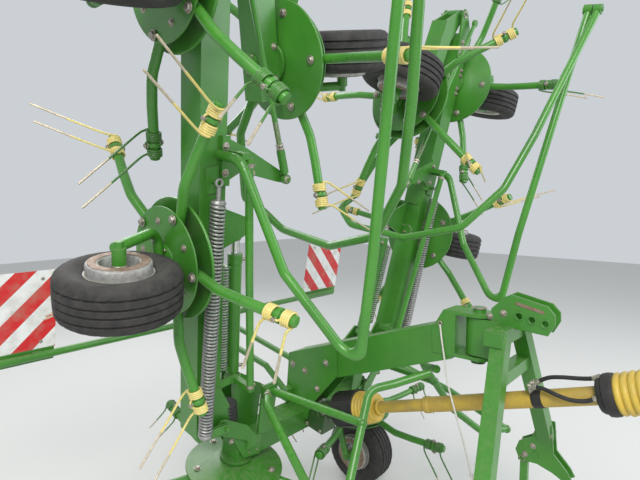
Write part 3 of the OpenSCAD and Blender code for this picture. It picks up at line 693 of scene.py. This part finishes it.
def hub_shape(place, mirror):
    """Hub nuts, the valve, the rim's outer ring with its worn lip, and the bearing cap."""
    s = Shape()
    for i in range(4):
        turn = place @ turned(90 * i + 20)
        s.put(*hexagon(9, 9, 14), turn @ move(50, 0, 2), 1, mirror)
        s.put(*hexagon(9, 9, 14), turn @ move(50, 0, -6) @ FLIP, 1, mirror)
    s.put(*sweep([(86, 0, -20), (84, 0, -34), (80, 0, -46)], 4.5, 10), place, 2, mirror)
    s.put(*lathe([(102, 50), (104, 56), (104.5, 92), (102, 98), (96, 101), (70, 101), (64, 98), (62, 92),
                  (60, 52), (28, 48), (28, 44), (100, 44)], 72, closed=True), place, 0, mirror)
    s.put(*lathe([(97, 101), (97, 102.2), (69, 102.2), (69, 101)], 72, closed=True), place, 3, mirror)
    s.put(*lathe([(15.3, 50), (26, 52), (26, 84), (22, 90), (15.3, 92)], 36, closed=True), place, 1, mirror)
    return s


for side_name, side in SIDES:
    for k in ROTORS:
        body = f"wheel_{k}_{side_name}"
        inward = leg_way(k) * (LEG_OUT - LEG_GAP - TYRE_W / 2)
        place = (rotor_frame(k) @ move(WHEEL_FWD, inward, -WHEEL_DROP)
                 @ Matrix.Rotation(math.radians(-90), 4, "X"))
        if leg_way(k) < 0:
            place = place @ FLIP
        ob = tyre_shape(place, side).piece(f"tread_{k}_{side_name}", body, [TYRE], "tyre_rubber")
        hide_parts(f"tyre_{k}_{side_name}")
        hub_shape(place, side).piece(f"hub_{k}_{side_name}", body, [HUB, BOLT, BLACK, RUSTY], "rim_steel")

# Tubes laid over the plain ones

CARRIER = {1: "frame", 2: "wing_{}", 3: "wing_{}", 4: "outer_{}"}
LEG = [(0, 0, -73), (-8, 86, -75), (4, LEG_OUT, -104), (100, LEG_OUT, -290)]
TIE = [(156, 262, 8), (160, 800, -28), (166, 1268, -58)]
WING_GUARD = [(60, 1270, -115), (185, 1265, -112), (397, 890, -73), (640, 660, -5), (712, 655, 5),
              (712, 1027, 10), (738, HINGE2.y, HINGE2.z)]
OUTER_GUARD = [(782, 0, 0), (705, 700, -90), (655, 1000, -130), (520, 1240, -165), (246, 1372, -206),
               (-90, 1384, -236), (-215, 1300, -220), (-218, 1225, -128), (-150, 900, -80), (-40, 735, -78)]
# the centre guard's tubes share a high, a low and a meeting point
HIGH, LOW, MEET = Vector((530, 235, 1080)), Vector((650, 460, 800)), (860, 780, 665)
CENTRE_GUARD = ([(85, 408, 914), (160, 480, 905), (550, 620, 810), MEET],
                [(700, 30, 1180), (600, 150, 1115), HIGH, LOW, (780, 600, 680), MEET],
                [(77, 370, 905), (170, 352, 912), HIGH.lerp(LOW, 0.387)])
for side_name, side in SIDES:
    for k in ROTORS:
        s = Shape()
        leg = [(x, leg_way(k) * y, z) for x, y, z in LEG]
        s.put(*sweep(rounded(leg, 40), LEG_R + 1.2, 20), rotor_frame(k), 0, side)
        s.piece(f"wheel_leg_{k}_{side_name}", CARRIER[k].format(side_name), [GREEN_TUBE], "green_paint")
    s = Shape()
    s.put(*sweep(rounded(WING_GUARD, 90), GUARD_R + 1.4, 20), WING, 0, side)
    s.put(*sweep(rounded(TIE, 100), 16, 16), WING, 0, side)
    s.piece(f"wing_guard_{side_name}", f"wing_{side_name}", [GREEN_TUBE], "green_paint")
    s = Shape()
    s.put(*sweep(rounded(OUTER_GUARD, 90), GUARD_R + 1.4, 20), OUTER, 0, side)
    s.piece(f"outer_guard_{side_name}", f"outer_{side_name}", [GREEN_TUBE], "green_paint")
    s = Shape()
    for path in CENTRE_GUARD:
        s.put(*sweep(rounded(path, 70), GUARD_R + 1.2, 20), MACHINE, 0, side)
    s.piece(f"centre_guard_{side_name}", "frame", [GREEN_TUBE], "green_paint")

# Springs

# lift spring, in the machine's frame: its pivot, the coil's two ends and the eye on the wing
SPRING_X = 105
SPRING_FOOT, SPRING_LOW = Vector((SPRING_X, 665, 828)), Vector((SPRING_X, 775, 836))
SPRING_EYE = wing_point(SPRING_X, 1171, -145)
UP = (SPRING_EYE - SPRING_LOW).normalized()
SPRING_TOP = SPRING_EYE - UP * 74
# fold cylinder: its two pivots, and its own frame with z along it
CYL_FOOT, CYL_HEAD = Vector((-55, 520, 960)), wing_point(-55, 935, 72)
CYL_AIM = CYL_HEAD - CYL_FOOT
CYLINDER = (MACHINE @ Matrix.Translation(CYL_FOOT)
            @ Matrix.Rotation(-math.atan2(CYL_AIM.y, CYL_AIM.z), 4, "X"))
# the link plates' outline: half a circle round each end
PLATE_R = 21
PLATE = [(c.y + PLATE_R * math.cos(math.radians(start + 180 * i / 12)),
          c.z + PLATE_R * math.sin(math.radians(start + 180 * i / 12)))
         for c, start in ((SPRING_FOOT, 90), (SPRING_LOW, 270)) for i in range(13)]
for side_name, side in SIDES:
    s = Shape()
    s.put(*sweep(helix(SPRING_LOW + UP * 6, SPRING_TOP, 25.6, 68, 16), 5.2, 8), MACHINE, 0, side)
    s.put(*sweep([SPRING_LOW, SPRING_TOP], 9, 12), MACHINE, 1, side)
    for p, way in ((SPRING_LOW, 1), (SPRING_TOP, -1)):
        s.put(*lathe([(9, -12), (24, -10), (30, 0), (24, 12), (9, 14)], 24),
              MACHINE @ toward(UP * way, p), 0, side)
    s.put(*sweep([SPRING_TOP, SPRING_TOP + UP * 30, SPRING_EYE - UP * 18], 9, 12), MACHINE, 0, side)
    eye = [SPRING_EYE + 14 * (math.cos(a) * UP + math.sin(a) * UP.cross(Vector((1, 0, 0))))
           for a in angles(24)]
    s.put(*sweep(eye, 5.5, 10), MACHINE, 0, side)
    for x in (SPRING_X - 8, SPRING_X + 3):
        verts = [(x, y, z) for y, z in PLATE] + [(x + 5, y, z) for y, z in PLATE]
        s.put(verts, ring_faces(2, len(PLATE)), MACHINE, 1, side)
    ob = s.piece(f"coil_spring_{side_name}", f"spring_{side_name}", [ZINC, GREEN], "steel")
    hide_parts(f"lift_spring_{side_name}")
    # inner spring beside the cylinder
    s = Shape()
    s.put(*sweep(helix((0, 62, 66), (0, 62, 572), 23.5, 38, 14), 4.2, 8), CYLINDER, 0, side)
    s.piece(f"inner_spring_{side_name}", f"barrel_{side_name}", [ZINC], "steel")

# Bolts, pins and fittings

# pivot of the link rod on its lever, and its far end by the outer hinge
LEVER_TIP = Vector((100, 1160, 205))
LINK_END = Vector((100, HINGE2.y - 25.8, HINGE2.z - 75.7))
WELD_R = 3.2
# hexagon heads that repeat, as (radius over the corners, height, washer's radius)
HEAD_18, HEAD_20 = (9, 8, 14), (10, 9, 16)


def nut(s, place, at, direction, r, h, washer, slot, mirror, stub=0):
    """A nut on its washer, with the bolt's end sticking out of it by stub."""
    spot = place @ toward(direction, at)
    s.put(*hexagon(r, h, washer), spot, slot, mirror)
    if stub:
        s.put(*lathe([(r * 0.55, h - 1), (r * 0.55, h + stub - 1), (r * 0.45, h + stub)], 16),
              spot, slot, mirror)


def pin_collar(s, place, at, direction, r, slot, mirror):
    """A washer and a split pin on the end of a pivot pin."""
    spot = place @ toward(direction, at)
    s.put(*lathe([(r + 0.2, 0), (r + 9, 0), (r + 9, 4), (r + 0.2, 4)], 28, closed=True), spot, slot, mirror)
    s.put(*sweep([(-r - 8, 0, 9), (r + 9, 0, 9)], 2, 6), spot, slot, mirror)
    loop = [(r + 9 + 5 * (1 - math.cos(a)), 5 * math.sin(a), 9) for a in angles(12)]
    s.put(*sweep(loop, 1.6, 6), spot, slot, mirror)


def clamp_band(s, place, at, direction, r, slot, mirror):
    """A band with its screw round a tube."""
    spot = place @ toward(direction, at)
    s.put(*lathe([(r, -8), (r + 1.6, -8), (r + 1.6, 8), (r, 8)], 32, closed=True), spot, slot, mirror)
    s.put(*block((r, -5, -4), (r + 9, 5, 4), 1), spot, slot, mirror)
    s.put(*sweep([(r + 5, -10, 0), (r + 5, 10, 0)], 2.2, 8), spot, slot, mirror)


def weld(s, place, points, slot, mirror):
    """A rippled weld bead along the points."""
    pts = []
    for a, b in zip(points, points[1:]):
        a, b = Vector(a), Vector(b)
        n = max(2, int((b - a).length / 4))
        pts += [a.lerp(b, i / n) for i in range(n)]
    pts.append(Vector(points[-1]))
    radii = [WELD_R * (0.85 + 0.3 * (i % 2)) for i in range(len(pts))]
    s.put(*sweep(pts, WELD_R, 6, radii=radii), place, slot, mirror)


def pins_and_bolts(frame_bits, wing_bits, outer_bits, side):
    """What both faces of a beam or a lug have: pins, bolts and the plates' seams."""
    for x in (-1, 1):
        out = Vector((x, 0, 0))
        # hinge pins with their collars
        pin_collar(frame_bits, MACHINE, HINGE1 + out * LUG_X1, out, 15, 1, side)
        nut(frame_bits, MACHINE, HINGE1 + out * LUG_X1 + Vector((0, 18, -42)), out, *HEAD_18, 1, side, 4)
        pin_collar(wing_bits, WING, HINGE2 + out * LUG_X2, out, 12, 1, side)
        # cylinder foot pin
        pin_collar(frame_bits, MACHINE, CYL_FOOT + out * 47, out, 12, 1, side)
        # bolts through the wing beam above each leg and through its lug plates
        for o in (ROTOR_OUT[2], ROTOR_OUT[3]):
            for dy in (-70, -40, 40, 70):
                nut(wing_bits, WING, (x * BEAM / 2, o + dy, -182), out, *HEAD_18, 1, side, 4)
        for o, z in ((1990, -175), (1990, -105), (2050, -175), (2050, -105)):
            nut(wing_bits, WING, (x * LUG_X2, o, z), out, *HEAD_20, 1, side, 4)
        for dy in (-60, 60):
            nut(outer_bits, OUTER, (x * OUTER_BEAM / 2, ROTOR_OUT[4] + dy, -122), out, *HEAD_18, 1, side, 4)
        for o, z in ((420, 100), (470, 105), (420, 150), (470, 155)):
            nut(frame_bits, MACHINE, (x * (BEAM / 2 + 7), o, BELL_Z + z), out, *HEAD_20, 1, side, 4)
        # seams where the plates meet the beams
        weld(wing_bits, WING, [(x * BEAM / 2, 262, -198), (x * BEAM / 2, 262, -82)], 0, side)
        seam_x = x * (BEAM / 2 + 7.5)
        weld(frame_bits, MACHINE, [(seam_x, 402, BELL_Z + 81), (seam_x, 402, BELL_Z + 169)], 0, side)


def lever_bolts(wing_bits, side):
    """Seams of the cylinder bracket's foot plate, then the lever's pin and bolts."""
    weld(wing_bits, WING, [(-46, 842, -69), (46, 842, -69)], 0, side)
    weld(wing_bits, WING, [(-46, 1058, -69), (46, 1058, -69)], 0, side)
    nut(wing_bits, WING, (110, LEVER_TIP.y, LEVER_TIP.z), (1, 0, 0), 14, 4, 17, 1, side)
    for o, z in ((1200, -95), (1300, -95)):
        nut(wing_bits, WING, (76, o, z), (1, 0, 0), *HEAD_20, 1, side, 4)
    nut(wing_bits, WING, (76, 1190, 40), (1, 0, 0), *HEAD_18, 1, side, 4)


def rotor_covers(frame_bits, wing_bits, outer_bits, side):
    """A cover on the beam over each rotor, with its screws and a breather."""
    for part, place, o, z, wide in ((frame_bits, MACHINE, ROTOR_OUT[1], BELL_Z + 180, 50),
                                    (wing_bits, WING, ROTOR_OUT[2], -80, 50),
                                    (wing_bits, WING, ROTOR_OUT[3], -80, 50),
                                    (outer_bits, OUTER, ROTOR_OUT[4], -40, 42)):
        top = place @ move(0, o, z)
        part.put(*lathe([(wide, 0), (wide, 5), (wide - 3, 7), (wide - 14, 8), (12, 8)], 40), top, 0, side)
        for i in range(6):
            part.put(*hexagon(6, 5), top @ turned(60 * i) @ move(wide - 7, 0, 6), 1, side)
        part.put(*hexagon(7, 12), top @ move(0, 0, 8), 1, side)


def guard_bands(frame_bits, wing_bits, side):
    """Bands that hold the tie rod and the centre guard to their brackets."""
    for at, way in (((156, 276, 7), (0, 1, -0.07)), ((165.5, 1240, -56), (0, 1, -0.06))):
        clamp_band(wing_bits, WING, at, way, 16.2, 1, side)
    clamp_band(frame_bits, MACHINE, (110, 434, 911), (1, 1, 0), 18.5, 1, side)


def fixings(side_name, side):
    """The fixings of one side, as a piece on the frame, one on the wing and one on the outer section."""
    bits = {"frame": Shape(), "wing": Shape(), "outer": Shape()}
    pins_and_bolts(*bits.values(), side)
    lever_bolts(bits["wing"], side)
    rotor_covers(*bits.values(), side)
    guard_bands(bits["frame"], bits["wing"], side)
    for section, part in bits.items():
        body = section if section == "frame" else f"{section}_{side_name}"
        part.piece(f"fixings_{section}_{side_name}", body, [GREEN, BOLT], "steel")


def cylinder_fittings(side_name, side):
    """Collar with its seal, ports and the clips of the inner spring; then the rod's end."""
    s = Shape()
    s.put(*lathe([(31, 34), (31.3, 36), (31.3, 575), (33, 577), (33, 618), (31.5, 622), (29, 624),
                  (21, 624), (21, 600)], 40), CYLINDER, 0, side)
    port = (0.6, -0.8, 0)
    for z in (64, 596):
        s.put(*lathe([(9, 0), (9, 14), (7, 15)], 16), CYLINDER @ toward(port, (15, -24, z)), 1, side)
        s.put(*hexagon(9, 9), CYLINDER @ toward(port, (23, -35, z)), 1, side)
    for z in (67, 567):
        s.put(*block((-12, 26, z - 6), (12, 86, z + 6), 2), CYLINDER, 0, side)
        s.put(*sweep([(0, 62, z - 14), (0, 62, z + 14)], 8, 10), CYLINDER, 1, side)
    s.piece(f"cylinder_collar_{side_name}", f"barrel_{side_name}", [GREEN, BOLT], "green_paint")
    s = Shape()
    span = CYL_AIM.length
    s.put(*lathe([(20.3, span - 60), (25, span - 56), (25, span - 34), (22, span - 28),
                  (20.3, span - 28)], 32, closed=True), CYLINDER, 0, side)
    s.piece(f"rod_end_{side_name}", f"rod_{side_name}", [BOLT], "steel")


def turnbuckle(side_name, side):
    """Sleeve, lock nuts, thread and eyes of the link rod."""
    d = (LINK_END - LEVER_TIP).normalized()
    s = Shape()
    s.put(*sweep([LEVER_TIP + d * 36, LEVER_TIP + d * 126], 17.6, 8), WING, 0, side)
    for t in (132, 146):
        s.put(*hexagon(17, 11), WING @ toward(d, LEVER_TIP + d * t), 1, side)
    thread = helix(LEVER_TIP + d * 158, LEVER_TIP + d * 250, 10.6, 23, 12)
    s.put(*sweep(thread, 1.3, 5, caps=False), WING, 1, side)
    for at, bore in ((LEVER_TIP, 9.5), (LINK_END, 6)):
        s.put(*lathe([(bore, -10), (19, -10), (20.5, -8), (20.5, 8), (19, 10), (bore, 10)], 32),
              WING @ toward((1, 0, 0), at), 0, side)
    s.piece(f"turnbuckle_{side_name}", f"link_{side_name}", [GREEN, BOLT], "steel")


for side_name, side in SIDES:
    fixings(side_name, side)
    cylinder_fittings(side_name, side)
    turnbuckle(side_name, side)


# Power shaft and gearbox

def bellows(z0, z1, r0, r1, ribs, depth=7):
    """A cone with rounded ribs and a thin wall."""
    outer = []
    n = ribs * 8
    for i in range(n + 1):
        t = i / n
        rib = depth * abs(math.sin(math.pi * ribs * t)) ** 0.7
        outer.append((r0 + (r1 - r0) * t + rib, z0 + (z1 - z0) * t))
    return lathe(outer + [(r1 - 5, z1), (r0 - 5, z0)], 64, closed=True)


# black bell over the gearbox end with its ribs, then the yellow cones and their rings
s = Shape()
s.put(*lathe([(21, 281), (92, 280), (92.6, 284), (91, 404), (93, 412), (93, 418), (88, 420), (86.5, 412),
              (85, 300), (85, 288), (21, 287)], 64), PTO, 1)
for i in range(8):
    s.put(*block((91, -3, 292), (94.5, 3, 400), 1), PTO @ turned(45 * i), 1)
s.put(*bellows(412, 519, 79, 62, 6), PTO, 0)
s.put(*bellows(1598, 1699, 66, 72, 4, 9), PTO, 0)
s.put(*lathe([(34.3, 1560), (70, 1560), (76, 1564), (78, 1580), (76, 1596), (72, 1600), (60, 1600),
              (60, 1570), (34.3, 1568)], 64, closed=True), PTO, 1)
s.put(*lathe([(28.3, 514), (64, 514), (64, 520), (28.3, 520)], 48, closed=True), PTO, 0)
for z, r in ((530, 28.4), (1545, 34.4)):
    s.put(*lathe([(r, z), (r + 9, z + 1), (r + 10, z + 4), (r + 10, z + 9), (r + 6, z + 12),
                  (r, z + 13)], 40, closed=True), PTO, 0)
ob = s.piece("shaft_cones", "frame", [CONE_YELLOW, BLACK], "guard_yellow")
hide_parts("pto_cones")

# inner and outer guard tube, and the shaft's two ends
s = Shape()
s.put(*lathe([(22, 340), (24, 342), (24, 400), (22, 402)], 32), PTO, 1)
s.put(*lathe([(28, 390), (28.2, 392), (28.2, 806), (28, 808)], 48), PTO, 0)
s.put(*lathe([(28.4, 796), (36.5, 797), (37.5, 800), (37.5, 822), (36, 826), (34.2, 828),
              (34.2, 1578), (33.5, 1580), (24, 1580)], 48), PTO, 0)
s.put(*lathe([(24, 1570), (24, 1706), (26, 1708), (34, 1712), (34, 1786), (32, 1790), (18, 1790),
              (18, 1742)], 40), PTO, 1)
# the splines of its bore
for i in range(6):
    s.put(*block((16, -3, 1744), (19.5, 3, 1788), 0.6), PTO @ turned(60 * i), 1)
# yokes of the front joint, inside the cone
for turn, z0, z1 in ((0, 1600, 1658), (90, 1650, 1700)):
    for y in (-1, 1):
        s.put(*block((-14, y * 32 - 6, z0), (14, y * 32 + 6, z1), 3), PTO @ turned(turn), 1)
ob = s.piece("shaft_tube", "frame", [GUARD_YELLOW, BOLT], "guard_yellow")
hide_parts("pto_tube")

# bolts of the gearbox, its breather and the flange at the shaft's foot
s = Shape()
for y in (-1, 1):
    for x, z in ((76, 104), (170, 104), (76, 212), (170, 212)):
        nut(s, MACHINE, (x, y * 56, BELL_Z + z), (0, y, 0), 8, 7, 12, 0, 1)
s.put(*hexagon(14, 12, 20), MACHINE @ move(123, 0, BELL_Z + 224), 0)
s.put(*lathe([(48, 0), (62, 1), (62, 12), (48, 14)], 40, closed=True), PTO @ move(0, 0, 150), 1)
for i in range(6):
    s.put(*hexagon(7, 6), PTO @ turned(60 * i) @ move(55, 0, 163), 0)
s.piece("gearbox_bolts", "frame", [BOLT, GREEN_OLD], "steel")

# band round the guard tube with a plate that holds both hoses, and the collar behind the cone
s = Shape()
s.put(*lathe([(34.3, 1296), (37, 1297), (37, 1335), (34.3, 1336)], 40, closed=True), PTO, 0)
s.put(*block((-74, -54, 1306), (-35, 14, 1312), 1.5), PTO, 1)
for y in (0, -40):
    s.put(*lathe([(8.3, 0), (14, 0), (14, 7), (8.3, 8)], 24, closed=True), PTO @ move(-61.4, y, 1311), 1)
s.put(*lathe([(34.3, 1536), (60, 1540), (66, 1548), (68, 1560), (34.3, 1560)], 48, closed=True), PTO, 0)
s.piece("hose_holder", "frame", [BLACK, BOLT], "steel")

# rubber boots over the drive at the wing hinges
BOOT_RIBS, BOOT_H = 6, 110
profile = []
for i in range(BOOT_RIBS * 4 + 1):
    t = i / (BOOT_RIBS * 4)
    profile.append((34 + 8 * (0.5 - 0.5 * math.cos(2 * math.pi * BOOT_RIBS * t)), BOOT_H * t))
s = Shape()
for _, side in SIDES:
    s.put(*lathe([(22, 0)] + profile + [(22, BOOT_H)], 36),
          MACHINE @ toward((0, 0.2, 0.98), (28, 582, 792)), 0, side)
s.piece("hinge_boots", "frame", [BLACK], "black_rubber")

# Drawbar and headstock

PIVOT_X = 1120
HITCH_X, HITCH_Z = 1262, 612
STAND_X, STAND_Z = 1205, 590
TOP_LINK_X, TOP_LINK_Z = 1345, 1335
# the swing pivot's washers, the tower's bolts and the fork's seams
s = Shape()
for z, h0, h1 in ((1342, 5, 6), (1110, 2, 2)):
    s.put(*lathe([(18, 0), (30, 0), (30, h0), (18, h1)], 32, closed=True), LEVEL @ move(PIVOT_X, 0, z), 1)
for y in (-1, 1):
    for x, z in ((-60, 720), (30, 720), (120, 840), (20, 900), (150, 1000), (-70, 900)):
        nut(s, MACHINE, (x, y * 72, z), (0, y, 0), 11, 10, 18, 1, 1, 5)
    weld(s, LEVEL, [(1002, y * 58, 1326), (1058, y * 58, 1326)], 0, 1)
s.piece("drawbar_bolts", "frame", [GREEN, BOLT], "steel")

s = Shape()
for _, side in SIDES:
    for y in (345, 405):
        for x, z in ((1250, 650), (1320, 720), (1215, 600)):
            nut(s, LEVEL, (x, y, z), (0, 1 if y > 400 else -1, 0), *HEAD_18, 1, side, 3)
    # lower hitch pin
    pin_collar(s, LEVEL, (HITCH_X, 475, HITCH_Z), (0, 1, 0), 14, 1, side)
    s.put(*lathe([(14.2, 0), (24, 0), (24, 7), (14.2, 8)], 28, closed=True),
          LEVEL @ toward((0, 1, 0), (HITCH_X, 405, HITCH_Z)), 1, side)
    # pin with a ring that holds the stand's leg
    s.put(*sweep([(STAND_X, 338, STAND_Z), (STAND_X, 412, STAND_Z)], 5.5, 10), LEVEL, 1, side)
    ring = [(STAND_X + 13 * math.cos(a), 335, STAND_Z + 13 * math.sin(a) - 11) for a in angles(20)]
    s.put(*sweep(ring, 1.8, 6), LEVEL, 1, side)
for y in (-1, 1):
    # rims of the three top link holes, and two bolts behind them
    for x in (1296, 1345, 1394):
        z = TOP_LINK_Z - (x - TOP_LINK_X) * 0.15
        s.put(*lathe([(12.9, 0), (19, 0), (19, 3), (12.9, 3)], 28, closed=True),
              LEVEL @ toward((0, y, 0), (x, y * 40, z)), 0)
    for x, z in ((1180, 1325), (1235, 1345)):
        nut(s, LEVEL, (x, y * 40, z), (0, y, 0), *HEAD_18, 1, 1, 3)
    # the worn slot above the holes
    a, b = Vector((1288, y * 40.4, 1391)), Vector((1384, y * 40.4, 1370))
    along = (b - a).normalized()
    out = Vector((along.z, 0, -along.x))
    rim = [end + 6.5 * (math.cos(t) * out + math.sin(t) * along)
           for end, start in ((b, 0), (a, 1)) for t in [math.pi * (start + i / 8) for i in range(9)]]
    lip = [p + Vector((0, y * 0.8, 0)) for p in rim]
    faces = ring_faces(2, len(rim))
    s.put(rim + lip, faces if y < 0 else [f[::-1] for f in faces], LEVEL, 2)
s.piece("headstock_bolts", "headstock", [GREEN, BOLT, RUSTY], "steel")

# Warning boards, in front of their posts

BOARD_X = -980
# the posts' front faces are 14 mm ahead of BOARD_X, and the boards lie against them
BACK, FRONT = BOARD_X + 14.5, BOARD_X + 17.5
s = Shape()
for _, side in SIDES:
    s.put(*block((BACK, 960, 860), (FRONT, 1383, 1283), 1.2), MACHINE, 0, side)
    s.put(*block((BOARD_X + 14.2, 965, 792), (BOARD_X + 20, 1378, 864), 2), MACHINE, 1, side)
    for o, z in ((1030, 1240), (1313, 1240), (1030, 900), (1313, 900)):
        s.put(*lathe([(9, 0), (9, 1.5), (6, 3), (0.5, 3.4)], 20),
              MACHINE @ toward((1, 0, 0), (FRONT, o, z)), 2, side)
        nut(s, MACHINE, (BOARD_X + 2, o, z), (-1, 0, 0), 7, 6, 11, 2, side)
    for o in (1050, 1290):
        s.put(*block((BOARD_X + 20, o - 22, 806), (BOARD_X + 26, o + 22, 850), 2), MACHINE, 2, side)
        s.put(*sweep([(BOARD_X + 30, o - 30, 828), (BOARD_X + 30, o + 30, 828)], 5, 10), MACHINE, 2, side)
ob = s.piece("striped_boards", "frame", [BOARD, GREEN, BOLT], "board_red_white")
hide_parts("warning_boards")

# Stage

FLOOR_HALF = 14
floor = bpy.data.meshes.new("floor")
floor.from_pydata([(x * FLOOR_HALF, y * FLOOR_HALF, 0) for x, y in ((-1, -1), (1, -1), (1, 1), (-1, 1))],
                  [], [(0, 1, 2, 3)])
floor_ob = bpy.data.objects.new("floor", floor)
scene.collection.objects.link(floor_ob)
pale, _, shader = material("floor_pale")
shader.inputs["Base Color"].default_value = (0.62, 0.62, 0.60, 1)
shader.inputs["Roughness"].default_value = 0.9
floor.materials.append(pale)

world = bpy.data.worlds.new("studio")
scene.world = world
world.use_nodes = True
background = world.node_tree.nodes["Background"]
background.inputs["Color"].default_value = (0.80, 0.84, 0.88, 1)
background.inputs["Strength"].default_value = 0.75


def area(name, at, aim, size, power, color=(1, 1, 1)):
    """A square lamp at a place, turned toward aim."""
    d = bpy.data.lights.new(name, "AREA")
    d.energy, d.size, d.color = power, size, color
    o = bpy.data.objects.new(name, d)
    scene.collection.objects.link(o)
    o.matrix_world = (Matrix.Translation(at)
                      @ (Vector(aim) - Vector(at)).to_track_quat("-Z", "Y").to_matrix().to_4x4())


area("key", (3.5, -4.5, 5.5), (0, 0, 1.6), 3.5, 420, (1.0, 0.98, 0.95))
area("fill", (4.5, 3.5, 3.5), (0, 0, 1.5), 4.0, 160, (0.92, 0.96, 1.0))
area("back", (-4.5, 1.0, 5.0), (0, 0, 1.6), 4.0, 160)
scene.view_settings.view_transform = "Standard"
